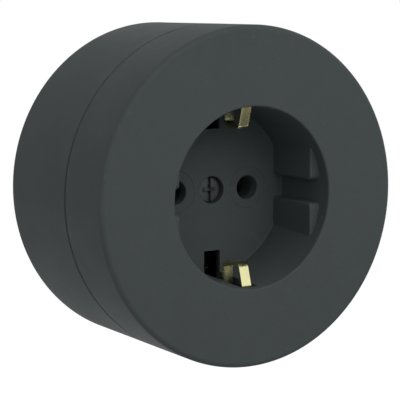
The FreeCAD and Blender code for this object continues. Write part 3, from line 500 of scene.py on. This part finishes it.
def cover_backing(h, w, e):
    """Parts behind the face that join the well to the skirt: clip housings, ribs, boss and key."""
    face = -h["depth"]
    front, back = face + h["wall"] / 2, face + w["depth"] + FLOOR_PLATE
    half = e["slot_width"] / 2 + SLOT_WALL
    parts = []
    for side in (-1, 1):
        ends = sorted((side * (w["radius"] + 0.45), side * (e["slot_outer"] + SLOT_WALL)))
        parts.append(box_piece("housing", (-half, half), (front, back - OVERLAP), ends))
    for angle in np.radians(RIB_ANGLES):
        parts.append(box_piece("rib", RIB_REACH, (front, front + RIB_DEPTH), (-RIB_HALF, RIB_HALF), angle))
    foot, top = back - 0.5, back + BOSS_HEIGHT
    boss = np.array([(0.0, foot), (BOSS_RADIUS, foot), (BOSS_RADIUS, top), (0.0, top)])
    parts.append(turned_piece("boss", boss, 64))
    rear = -(h["seam"] + h["seam_gap"])
    depths = (rear - REBATE_DEPTH - 2 * OVERLAP, rear - OVERLAP)
    parts.append(box_piece("key", (-KEY_HALF, KEY_HALF), depths, KEY_RADII))
    return joined(parts)


def quarter_turned(vector):
    """The vector turned left by a right angle."""
    return np.array([-vector[1], vector[0]])


def strip_path(corners, bends, spacing):
    """Points along a folded line, and its direction at each of them.

    Each straight part ends where the next arc starts: the radius times the tangent of half the turn
    before the corner. The arc's centre lies one radius to the side that the line turns to.
    """
    points, headings = [], []
    corners = np.array(corners, float)

    def straight(start, end, heading, whole):
        """Adds the points of a straight part, with its end where it is the last."""
        count = max(2, int(np.hypot(*(end - start)) / spacing))
        along = np.linspace(0.0, 1.0, count, endpoint=whole)[:, None]
        points.append(start + (end - start) * along)
        headings.append(np.repeat(heading[None], count, axis=0))

    here = corners[0]
    heading = corners[1] - corners[0]
    heading /= np.hypot(*heading)
    for corner, following, bend in zip(corners[1:-1], corners[2:], bends):
        onward = (following - corner) / np.hypot(*(following - corner))
        turn = math.atan2(heading[0] * onward[1] - heading[1] * onward[0], heading @ onward)
        cut = bend * math.tan(abs(turn) / 2)
        begin = corner - heading * cut
        straight(here, begin, heading, False)
        steps = max(4, int(abs(turn) * bend / spacing * 2))
        swing = np.linspace(0.0, turn, steps, endpoint=False)
        inward = quarter_turned(heading) * math.copysign(1.0, turn)
        centre, arm = begin + inward * bend, -inward * bend
        c, s = np.cos(swing)[:, None], np.sin(swing)[:, None]
        points.append(centre + c * arm + s * quarter_turned(arm))
        headings.append(c * heading + s * quarter_turned(heading))
        here, heading = corner + onward * cut, onward
    straight(here, corners[-1], heading, True)
    return np.concatenate(points), np.concatenate(headings)


def clip_line(h, shoulder, heel):
    """Folded line of a clip as (y, z): its foot, then shoulder, heel, crown and toe by their depth."""
    riser, crown = 20.65, 14.85
    behind = [(shoulder, riser), (heel, crown + 1.15), (9.2, crown + 0.2), (4.9, crown),
              (3.35, riser - 0.75), (2.4, riser - 0.45)]
    return [(FOOT_Y, FOOT_END), (FOOT_Y, riser)] + [(depth - h["depth"], z) for depth, z in behind]


def clip_piece(name, side, h, c):
    """Rounded strip carried along the folded line, wide at its foot and with round corners at its tip.

    Each point of the section is set off from the line: its first measure across the strip, its second
    square to the line's direction.
    """
    wide, tight = c["bend"], c["tight_bend"]
    place = "upper" if side > 0 else "lower"
    line_points = clip_line(h, c[place + "_shoulder"], c[place + "_heel"])
    path, heading = strip_path(line_points, (wide, tight, tight, tight, wide, tight), 0.16)
    travel = np.concatenate([[0.0], np.cumsum(np.hypot(*(path[1:] - path[:-1]).T))])
    foot = np.clip((FOOT_LENGTH - travel) / 0.5 + 0.5, 0.0, 1.0)
    half = c["width"] / 2 + (c["foot_width"] - c["width"]) / 2 * (3 * foot ** 2 - 2 * foot ** 3)
    tip_round = 0.45
    tip = np.clip(1.0 - (travel[-1] - travel) / tip_round, 0.0, 1.0)
    half = half - tip_round * (1.0 - np.sqrt(1.0 - tip ** 2))
    section = rounded_rectangle((-1.0, -c["thickness"] / 2), (1.0, c["thickness"] / 2), c["edge_round"], 4)
    across = np.sign(section[:, 0]) * (np.abs(section[:, 0]) - 1.0)
    x = np.sign(section[:, 0])[None] * half[:, None] + across[None]
    rise = section[:, 1][None]
    y = path[:, 0:1] - heading[:, 1:2] * rise
    z = path[:, 1:2] + heading[:, 0:1] * rise
    points = np.stack([x, y, side * z], axis=-1)
    rows, columns = x.shape
    last = (rows - 1) * columns
    obj = mesh_object(name, points.reshape(-1, 3), grid_faces(rows, columns),
                      [range(columns), range(last, last + columns)])
    front, back = FOOT_Y - 2.15, FOOT_Y + 1.85
    bore = np.array([(0.0, front), (RIVET_RADIUS, front), (RIVET_RADIUS, back), (0.0, back)])
    combine(obj, turned_piece("rivet_hole", bore, 48, (0.0, side * RIVET_HEIGHT)), "DIFFERENCE")
    return obj


def screw_piece(name, s):
    """Screw as one surface round its axis: a head with its recesses pressed in, then a threaded shank.

    The head's front is lowered by the deeper of the slot and the cross. The thread is a rounded wave
    of the distance along the axis plus the turn, so that it climbs one pitch in each turn.
    """
    rim, crown, wall, core = 0.3, 0.12, 0.07, 0.6
    plain, runout, thread_depth = 0.3, 0.8, 0.22
    turn = round_turns(384)[None]
    front, seat, tip = SCREW_LOW.y / MM, SCREW_LOW.y / MM + s["head_height"], SCREW_HIGH.y / MM
    top = np.linspace(0.0, s["head_radius"] - rim, 66)[:, None]
    x, z = np.abs(top * np.cos(turn)), np.abs(top * np.sin(turn))
    half = s["slot_width"] / 2

    def inside(distance):
        """One inside a recess and nought outside, with a steep smooth wall."""
        step = np.clip(distance / wall + 0.5, 0.0, 1.0)
        return step * step * (3 - 2 * step)

    reach = np.clip((s["cross_radius"] - top) / (s["cross_radius"] - core), 0.0, 1.0)
    arms = np.maximum(inside(half - x), inside(half - z)) * inside(s["cross_radius"] - top)
    dip = np.maximum(s["slot_depth"] * inside(half - x), s["cross_depth"] * reach * arms)
    y = front + crown * (top / s["head_radius"]) ** 2 + dip
    corner = arc((s["head_radius"] - rim, front + crown + rim), rim, -90, 0, 9)
    slot_fade = np.linspace(1.0, 0.25, len(corner))[:, None]
    corner_y = corner[:, 1:2] + (y[-1] - front - crown) * slot_fade
    shank = np.linspace(seat + plain, tip - s["shank_radius"] / 2, 150)[:, None]
    wave = 0.5 - 0.5 * np.cos(2 * np.pi * shank / s["pitch"] + turn)
    fade = np.clip((shank - seat - plain) / runout, 0.0, 1.0)
    thread = s["shank_radius"] - thread_depth * wave * fade
    under = np.array([[s["head_radius"]], [s["shank_radius"]]])
    point = np.array([[s["shank_radius"] / 2], [0.0]])
    radius = stacked(turn, top, corner[:, 0:1], under, thread, point)
    y = stacked(turn, y, corner_y, seat + 0 * under, shank, tip + 0 * point)
    return mesh_object(name, ring_points(radius, y, turn), grid_faces(len(radius), turn.size))


def feed(socket, value):
    """Links an input to an output socket, or sets its value."""
    if isinstance(value, bpy.types.NodeSocket):
        socket.id_data.links.new(value, socket)
    else:
        socket.default_value = value


def add_node(tree, kind, place, **values):
    """Shader node at a place, with its inputs fed by name, and its attributes set for the other names."""
    made = tree.nodes.new(kind)
    made.location = place
    for name, value in values.items():
        label = name.replace("_", " ")
        socket = next((s for s in made.inputs if s.name.lower() == label), None)
        if socket is not None:
            feed(socket, value)
        else:
            setattr(made, name, value)
    return made


def maths(tree, operation, place, *values, clamp=False):
    """Math node on sockets or numbers. Returns its output."""
    made = add_node(tree, "ShaderNodeMath", place, operation=operation, use_clamp=clamp)
    for socket, value in zip(made.inputs, values):
        feed(socket, value)
    return made.outputs[0]


def noise(tree, place, vector, **values):
    """Noise texture on a vector."""
    return add_node(tree, "ShaderNodeTexNoise", place, vector=vector, **values)


def scaled_with(tree, scale, *textures):
    """Feeds the scale of each texture with a socket times a ratio of its own."""
    for texture, ratio in textures:
        feed(texture.inputs["Scale"], maths(tree, "MULTIPLY", (-750, texture.location.y), scale, ratio))


def new_group(name, setting, default, *outputs):
    """Shader node group of a vector and one setting, with plain numbers as outputs.

    Returns the group, the sockets of both inputs and the sockets at its end.
    """
    group = bpy.data.node_groups.new(name, "ShaderNodeTree")
    group.interface.new_socket(name="Vector", in_out="INPUT", socket_type="NodeSocketVector")
    kind = "NodeSocketVector" if isinstance(default, tuple) else "NodeSocketFloat"
    group.interface.new_socket(name=setting, in_out="INPUT", socket_type=kind).default_value = default
    for label in outputs:
        group.interface.new_socket(name=label, in_out="OUTPUT", socket_type="NodeSocketFloat")
    start = group.nodes.new("NodeGroupInput")
    end = group.nodes.new("NodeGroupOutput")
    start.location, end.location = (-900, 0), (700, 0)
    return group, start.outputs["Vector"], start.outputs[setting], end.inputs


def eroded_grain_group():
    """Spark-eroded skin: fine overlapping pits over a coarser unevenness, as a height and a tone."""
    group, vector, count, end = new_group("Eroded grain", "Pits per metre", 2600.0, "Height", "Tone")
    fine = noise(group, (-600, 200), vector, detail=4.0, roughness=0.62)
    pits = add_node(group, "ShaderNodeTexVoronoi", (-600, -50), vector=vector, feature="SMOOTH_F1",
                    smoothness=0.6)
    broad = noise(group, (-600, -320), vector, detail=2.0, roughness=0.5)
    scaled_with(group, count, (fine, 1.0), (pits, 0.7), (broad, 0.12))
    skin = maths(group, "MULTIPLY_ADD", (-300, 100), pits.outputs["Distance"], 0.7, fine.outputs[0])
    tone = maths(group, "ADD", (-50, -200), fine.outputs[0], broad.outputs[0])
    feed(end["Height"], maths(group, "MULTIPLY_ADD", (-50, 100), broad.outputs[0], 0.5, skin))
    feed(end["Tone"], maths(group, "MULTIPLY", (200, -200), tone, 0.5))
    return group


def handling_group():
    """Uneven film from handling: broad soft patches and a few small specks."""
    group, vector, count, end = new_group("Handling", "Patches per metre", 60.0, "Patches", "Specks")
    patches = noise(group, (-600, 200), vector, detail=3.0, roughness=0.55, distortion=0.4)
    specks = noise(group, (-600, -100), vector, detail=1.0, roughness=0.5)
    scaled_with(group, count, (patches, 1.0), (specks, 22.0))
    few = maths(group, "SUBTRACT", (-350, -100), specks.outputs[0], 0.68)
    feed(end["Patches"], patches.outputs[0])
    feed(end["Specks"], maths(group, "MULTIPLY", (-150, -100), few, 9.0, clamp=True))
    return group


def rolled_lines_group():
    """Fine lines that rolling leaves along a strip, as a height and a tone."""
    along_x = (9000.0, 500.0, 500.0)
    group, vector, stretch, end = new_group("Rolled lines", "Stretch", along_x, "Height", "Tone")
    scaled = add_node(group, "ShaderNodeVectorMath", (-700, 100), operation="MULTIPLY")
    feed(scaled.inputs[0], vector)
    feed(scaled.inputs[1], stretch)
    lines = noise(group, (-500, 200), scaled.outputs[0], scale=1.0, detail=5.0, roughness=0.7)
    stain = noise(group, (-500, -100), vector, scale=420.0, detail=3.0, roughness=0.6)
    feed(end["Height"], lines.outputs[0])
    feed(end["Tone"], stain.outputs[0])
    return group


def edge_wear_group():
    """Mask of convex edges that handling has polished, broken up by noise."""
    group, vector, reach, end = new_group("Edge wear", "Reach", 0.5, "Mask")
    geometry = add_node(group, "ShaderNodeNewGeometry", (-700, 200))
    breakup = noise(group, (-700, -100), vector, scale=700.0, detail=3.0, roughness=0.6)
    sharp = maths(group, "SUBTRACT", (-450, 200), geometry.outputs["Pointiness"], 0.52)
    strong = maths(group, "MULTIPLY", (-250, 200), sharp, 14.0, clamp=True)
    uneven = maths(group, "MULTIPLY", (-50, 100), strong, breakup.outputs[0])
    feed(end["Mask"], maths(group, "MULTIPLY", (200, 100), uneven, reach, clamp=True))
    return group


def hollow_shade_group():
    """Painted shade in the hollows: strong where little of the open space is in reach, as ambient occlusion
    finds it.
    """
    group, vector, reach, end = new_group("Hollow shade", "Reach", 0.03, "Mask")
    open_share = add_node(group, "ShaderNodeAmbientOcclusion", (-600, 200), samples=8, distance=reach)
    breakup = noise(group, (-600, -100), vector, scale=500.0, detail=3.0, roughness=0.6)
    uneven = maths(group, "MULTIPLY_ADD", (-350, 0), breakup.outputs[0], 0.2, open_share.outputs["AO"])
    hidden = maths(group, "SUBTRACT", (-150, 100), 0.8, uneven)
    feed(end["Mask"], maths(group, "MULTIPLY", (100, 100), hidden, 3.0, clamp=True))
    return group


GROUP_MAKERS = {"Eroded grain": eroded_grain_group, "Handling": handling_group,
                "Rolled lines": rolled_lines_group, "Edge wear": edge_wear_group,
                "Hollow shade": hollow_shade_group}


def placed_group(tree, name, place, **values):
    """A shared node group in a material, fed with Object coordinates."""
    made = add_node(tree, "ShaderNodeGroup", place)
    made.node_tree = bpy.data.node_groups.get(name) or GROUP_MAKERS[name]()
    coordinates = tree.nodes.get("Texture Coordinate") or add_node(tree, "ShaderNodeTexCoord", (-1300, 0))
    feed(made.inputs["Vector"], coordinates.outputs["Object"])
    for label, value in values.items():
        feed(made.inputs[label.replace("_", " ")], value)
    return made


def new_material(name):
    """Material with an empty Principled shader. Returns the material, its tree and the shader."""
    material = bpy.data.materials.new(name)
    material.use_nodes = True
    tree = material.node_tree
    shader = tree.nodes["Principled BSDF"]
    shader.location = (300, 0)
    tree.nodes["Material Output"].location = (600, 0)
    return material, tree, shader


def spread(tree, place, factor, low, high):
    """Number that runs from low to high while a factor runs from a quarter to three quarters."""
    made = add_node(tree, "ShaderNodeMapRange", place, value=factor, from_min=0.25, from_max=0.75,
                    to_min=low, to_max=high)
    return made.outputs["Result"]


def tinted(tree, place, factor, first, second):
    """Colour that runs from the first to the second with a factor."""
    made = add_node(tree, "ShaderNodeMix", place, data_type="RGBA", factor=factor)
    for socket, value in zip(made.inputs[6:8], (first, second)):
        feed(socket, value if isinstance(value, bpy.types.NodeSocket) else (*value, 1.0))
    return made.outputs[2]


def shade(base, factor):
    """A colour made lighter or darker."""
    return tuple(min(1.0, part * factor) for part in base)


def bumped(tree, shader, height, strength, distance):
    """Feeds a height to the shader's normal."""
    bump = add_node(tree, "ShaderNodeBump", (50, -350), strength=strength, distance=distance, height=height)
    feed(shader.inputs["Normal"], bump.outputs["Normal"])


def plastic_material(name, base, grain, pits, roughness, wear, gloss):
    """Moulded plastic: eroded grain, handling film and slightly polished edges."""
    _, tree, shader = new_material(name + " finish")
    skin = placed_group(tree, "Eroded grain", (-900, 0), Pits_per_metre=pits)
    film = placed_group(tree, "Handling", (-900, 300))
    worn = placed_group(tree, "Edge wear", (-900, -300), Reach=wear)
    tone = spread(tree, (-600, 100), skin.outputs["Tone"], 0.0, 1.0)
    body = tinted(tree, (-400, 100), tone, shade(base, 0.94), shade(base, 1.06))
    patched = spread(tree, (-600, 350), film.outputs["Patches"], 0.0, 0.5)
    body = tinted(tree, (-200, 200), patched, body, shade(base, 1.03))
    dusted = maths(tree, "MULTIPLY", (-600, 550), film.outputs["Specks"], 0.25)
    body = tinted(tree, (-50, 300), dusted, body, shade(base, 1.7))
    body = tinted(tree, (100, 200), worn.outputs["Mask"], body, shade(base, 1.35))
    feed(shader.inputs["Base Color"], body)
    rough = spread(tree, (-400, -150), film.outputs["Patches"], roughness + 0.05, roughness - 0.04)
    polish = maths(tree, "MULTIPLY", (-350, -300), worn.outputs["Mask"], 0.12)
    feed(shader.inputs["Roughness"], maths(tree, "SUBTRACT", (-150, -150), rough, polish))
    feed(shader.inputs["Specular IOR Level"], gloss)
    bumped(tree, shader, skin.outputs["Height"], grain, 0.00006)


def metal_material(name, base, stain, metallic, roughness, stretch, line_depth, hollow_shade=None):
    """Rolled or plated metal: fine lines, faint darker stains, and painted shade in the hollows if it has a
    colour for it.

    Less than fully metallic stands for a dull film.
    """
    _, tree, shader = new_material(name + " finish")
    rolled = placed_group(tree, "Rolled lines", (-900, 0), Stretch=stretch)
    film = placed_group(tree, "Handling", (-900, 300), Patches_per_metre=180.0)
    tone = spread(tree, (-600, 100), rolled.outputs["Tone"], 0.0, 1.0)
    body = tinted(tree, (-400, 100), tone, base, shade(base, stain))
    # Painted shade: brass is darkened where ambient occlusion finds it hidden in hollows
    if hollow_shade:
        hollow = placed_group(tree, "Hollow shade", (-900, 600))
        body = tinted(tree, (-200, 200), hollow.outputs["Mask"], body, hollow_shade)
    feed(shader.inputs["Base Color"], body)
    feed(shader.inputs["Metallic"], metallic)
    lines = spread(tree, (-600, -150), rolled.outputs["Height"], -0.04, 0.06)
    patches = spread(tree, (-600, -400), film.outputs["Patches"], roughness - 0.03, roughness + 0.05)
    feed(shader.inputs["Roughness"], maths(tree, "ADD", (-300, -200), lines, patches))
    bumped(tree, shader, rolled.outputs["Height"], line_depth, 0.00002)


def materials():
    """All finishes by the record's slot names, made once.

    The values stand in the order in which the two makers above name them.
    """
    colours = bpy.context.scene.socket_finishes
    even = (2600.0, 2600.0, 2600.0)
    plastics = (("anthracite plastic", colours.housing, 0.35 * colours.grain, 2600.0, 0.64, 0.6, 0.1),
                ("insulating plastic", colours.insulator, 0.12, 1800.0, 0.45, 0.2, 0.4),
                ("fibre washer", colours.fibre, 0.6, 3800.0, 0.78, 0.3, 0.3))
    # The last value for brass is the colour of its painted shade in the hollows
    metals = (("brass", colours.brass, 0.75, 1.0, 0.35, (500.0, 500.0, 9000.0), 0.25, colours.hollow_shade),
              ("spring brass", colours.spring, 0.86, 1.0, 0.24, (9000.0, 350.0, 350.0), 0.02),
              ("plated steel", colours.plating, 0.8, 1.0, 0.34, even, 0.18),
              ("blackened steel", colours.blackening, 0.8, 0.5, 0.42, even, 0.15))
    if "brass finish" not in bpy.data.materials:
        for maker, finishes in ((plastic_material, plastics), (metal_material, metals)):
            for values in finishes:
                maker(*values)
    return {values[0].replace(" ", "_"): bpy.data.materials[values[0] + " finish"]
            for values in plastics + metals}


class SOCKET_OT_cover(bpy.types.Operator):
    """Build the front cover with its well, pin entries, screw seat and clip slots"""
    bl_idname = "socket.cover"
    bl_label = "Front cover"

    def execute(self, context):
        scene = context.scene
        h, w, e = mm(scene.socket_housing), mm(scene.socket_well), mm(scene.socket_entries)
        points, faces = cover_grid(h, w)
        cover = mesh_object("front_cover_moulding", points, faces)
        combine(cover, cover_backing(h, w, e), "UNION")
        combine(cover, entry_cutters(h, w, e), "DIFFERENCE")
        combine(cover, slot_reliefs(h, w, e), "DIFFERENCE")
        smooth(cover)
        finish_piece(cover, "anthracite_plastic", "front_cover")
        return {"FINISHED"}


class SOCKET_OT_clips(bpy.types.Operator):
    """Build both earth clips as folded spring strips"""
    bl_idname = "socket.clips"
    bl_label = "Earth clips"

    def execute(self, context):
        scene = context.scene
        h, c = mm(scene.socket_housing), mm(scene.socket_clips)
        for side, place in ((1, "upper"), (-1, "lower")):
            clip = clip_piece(place + "_earth_clip_spring", side, h, c)
            smooth(clip)
            finish_piece(clip, "spring_brass", place + "_earth_clip")
        return {"FINISHED"}


class SOCKET_OT_screw(bpy.types.Operator):
    """Build the cover screw with its slot, cross and thread"""
    bl_idname = "socket.screw"
    bl_label = "Cover screw"

    def execute(self, context):
        screw = screw_piece("cover_screw_threaded", mm(context.scene.socket_screw))
        smooth(screw, 50.0)
        finish_piece(screw, "blackened_steel", "cover_screw")
        return {"FINISHED"}


class SOCKET_OT_inner(bpy.types.Operator):
    """Give every piece that keeps its own solid the finish of its material slot"""
    bl_idname = "socket.inner"
    bl_label = "Base and inner parts"

    def execute(self, context):
        finishes = materials()
        for part in frame["record"]["subparts"]:
            obj = frame["nodes"][part["node"]]
            obj.data.materials.clear()
            obj.data.materials.append(finishes[part["material_slot"]])
        return {"FINISHED"}


def place_camera(studio):
    """Camera of the fitted view. Yaw turns it from +Y to +X, pitch lowers it, roll turns the frame."""
    level = math.cos(studio.pitch)
    forward = Vector((math.sin(studio.yaw) * level, math.cos(studio.yaw) * level, -math.sin(studio.pitch)))
    right = forward.cross(Vector((0, 0, 1))).normalized()
    up = right.cross(forward)
    c, s = math.cos(studio.roll), math.sin(studio.roll)
    right, up = c * right + s * up, -s * right + c * up
    data = bpy.data.cameras.new("camera")
    data.sensor_width = 36.0
    data.lens = studio.focal * data.sensor_width / 400
    data.clip_start, data.clip_end = 0.01, 20.0
    camera = bpy.data.objects.new("camera", data)
    place = -studio.shift_right * right - studio.shift_up * up - studio.distance * forward
    turn = Matrix((right, up, -forward)).transposed()
    camera.matrix_world = Matrix.Translation(place) @ turn.to_4x4()
    bpy.context.scene.collection.objects.link(camera)
    bpy.context.scene.camera = camera


def soft_box(name, direction, distance, size, level, tint):
    """Square lamp that faces the socket and isn't reflected. It lights a white surface to about the level."""
    data = bpy.data.lights.new(name, "AREA")
    data.shape = "RECTANGLE"
    data.size = data.size_y = size
    data.energy = level * math.pi ** 2 * distance ** 2
    data.color = tint
    lamp = bpy.data.objects.new(name, data)
    away = Vector(direction).normalized()
    lamp.location = away * distance + Vector((0, CAD_BOX[0].y / 2, 0))
    lamp.rotation_euler = (-away).to_track_quat("-Z", "Y").to_euler()
    lamp.visible_glossy = False
    bpy.context.scene.collection.objects.link(lamp)


def seen_white(tree, lit, place, white):
    """Swaps a shader for a white one where camera, glossy and transmission rays meet it."""
    x, y = place
    path = add_node(tree, "ShaderNodeLightPath", (x - 400, y)).outputs
    seen = maths(tree, "MAXIMUM", (x - 200, y), path["Is Camera Ray"], path["Is Glossy Ray"])
    seen = maths(tree, "MAXIMUM", (x - 100, y), seen, path["Is Transmission Ray"])
    mix = add_node(tree, "ShaderNodeMixShader", place)
    for source, socket in zip((seen, lit, white), mix.inputs):
        feed(socket, source)
    return mix.outputs[0]


def light_world(studio):
    """World that lights softly and is seen as plain white."""
    world = bpy.data.worlds.new("studio")
    bpy.context.scene.world = world
    world.use_nodes = True
    tree = world.node_tree
    lit = tree.nodes["Background"]
    feed(lit.inputs["Color"], WHITE)
    feed(lit.inputs["Strength"], studio.ambient)
    white = add_node(tree, "ShaderNodeBackground", (0, -200), color=WHITE, strength=1.0)
    mixed = seen_white(tree, lit.outputs[0], (300, 0), white.outputs[0])
    feed(tree.nodes["World Output"].inputs["Surface"], mixed)


def pale_floor(studio):
    """Wide round floor below the socket, a grey one for the light that it throws back.

    Camera and reflections see a glow under a thin diffuse share instead, white where it is lit.
    """
    radius = np.array([[0.0], [200.0], [600.0], [2500.0]])
    turn = round_turns(96)
    points = np.stack([radius * np.cos(turn), radius * np.sin(turn),
                       np.full((len(radius), len(turn)), -studio.floor_drop / MM)], axis=-1)
    floor = mesh_object("studio_floor", points.reshape(-1, 3), grid_faces(len(radius), len(turn)))
    material, tree, shader = new_material("studio floor")
    feed(shader.inputs["Base Color"], (0.5, 0.5, 0.5, 1.0))
    feed(shader.inputs["Roughness"], 0.9)
    shaded = add_node(tree, "ShaderNodeBsdfDiffuse", (300, -350), color=(0.3, 0.3, 0.3, 1.0))
    glow = add_node(tree, "ShaderNodeEmission", (300, -500), color=WHITE, strength=0.95)
    both = add_node(tree, "ShaderNodeAddShader", (500, -300))
    feed(both.inputs[0], shaded.outputs[0])
    feed(both.inputs[1], glow.outputs[0])
    mixed = seen_white(tree, shader.outputs[0], (800, 0), both.outputs[0])
    feed(tree.nodes["Material Output"].inputs["Surface"], mixed)
    floor.data.materials.append(material)


def dark_card(direction, distance, width, level):
    """Square card that faces the mouth of the well. Reflections show it at a level, and nothing else does."""
    away = Vector(direction).normalized()
    side = away.cross(Vector((0, 0, 1))).normalized()
    up = side.cross(away)
    middle = away * distance + Vector((0, CAD_BOX[0].y, 0))
    corners = [middle + side * s * width / 2 + up * t * width / 2
               for s, t in ((-1, -1), (1, -1), (1, 1), (-1, 1))]
    card = mesh_object("studio_card", np.array(corners) / MM, np.array([[0, 1, 2, 3]]))
    material, _, shader = new_material("studio card")
    for label, value in (("Base Color", (0.0, 0.0, 0.0, 1.0)), ("Specular IOR Level", 0.0),
                         ("Emission Color", WHITE), ("Emission Strength", level)):
        feed(shader.inputs[label], value)
    card.data.materials.append(material)
    card.visible_camera = card.visible_diffuse = card.visible_shadow = False


# Direction, distance, width and level of each card, and then of each lamp with its tint
CARDS = (((0.51, -0.63, -0.58), 0.2, 0.19, 0.1),
         ((0.5, -0.4, 0.77), 0.25, 0.19, 0.03))
LAMPS = {"key": ((0.2, -0.75, 0.65), 0.45, 0.5, 0.75, WHITE[:3]),
         "right fill": ((0.8, -0.55, 0.25), 0.9, 1.0, 0.12, WHITE[:3]),
         "left fill": ((-0.6, -0.75, 0.3), 0.9, 1.0, 0.24, WHITE[:3]),
         "front fill": ((-0.1, -1.0, 0.1), 0.9, 1.0, 0.1, WHITE[:3]),
         "rear fill": ((-0.9, 0.3, -0.4), 0.9, 1.0, 0.55, (1.0, 0.94, 0.9))}


class SOCKET_OT_stage(bpy.types.Operator):
    """Set the camera, the world, the floor, the dark cards and the soft lamps"""
    bl_idname = "socket.stage"
    bl_label = "Camera, lamps and floor"

    def execute(self, context):
        studio = context.scene.socket_studio
        place_camera(studio)
        light_world(studio)
        pale_floor(studio)
        for card in CARDS:
            dark_card(*card)
        for name, lamp in LAMPS.items():
            soft_box(name, *lamp)
        context.scene.view_settings.view_transform = "Standard"
        return {"FINISHED"}


OPERATORS = (SOCKET_OT_cover, SOCKET_OT_clips, SOCKET_OT_screw, SOCKET_OT_inner, SOCKET_OT_stage)
GROUPS = {"socket_housing": HousingSizes, "socket_well": WellSizes, "socket_entries": EntrySizes,
          "socket_clips": ClipSizes, "socket_screw": ScrewSizes, "socket_finishes": Finishes,
          "socket_studio": Studio}


class SOCKET_PT_panel(bpy.types.Panel):
    """Sizes, finishes and steps of the socket"""
    bl_idname = "SOCKET_PT_panel"
    bl_label = "Earthed socket"
    bl_space_type = "VIEW_3D"
    bl_region_type = "UI"
    bl_category = "Socket"

    def draw(self, context):
        for operator in OPERATORS:
            self.layout.operator(operator.bl_idname)
        for name in GROUPS:
            box = self.layout.box()
            group = getattr(context.scene, name)
            for field in group.__annotations__:
                box.prop(group, field)


def register():
    """Adds the classes, and the settings to the scene."""
    for item in (*SETTINGS, *OPERATORS, SOCKET_PT_panel):
        bpy.utils.register_class(item)
    for name, group in GROUPS.items():
        setattr(bpy.types.Scene, name, bpy.props.PointerProperty(type=group))


def unregister():
    """Takes the settings and classes away again."""
    for name in GROUPS:
        delattr(bpy.types.Scene, name)
    for item in reversed((*SETTINGS, *OPERATORS, SOCKET_PT_panel)):
        bpy.utils.unregister_class(item)


def main():
    """Builds everything."""
    register()
    bpy.ops.socket.inner()
    bpy.ops.socket.cover()
    bpy.ops.socket.clips()
    bpy.ops.socket.screw()
    bpy.ops.socket.stage()


if __name__ == "__main__":
    main()
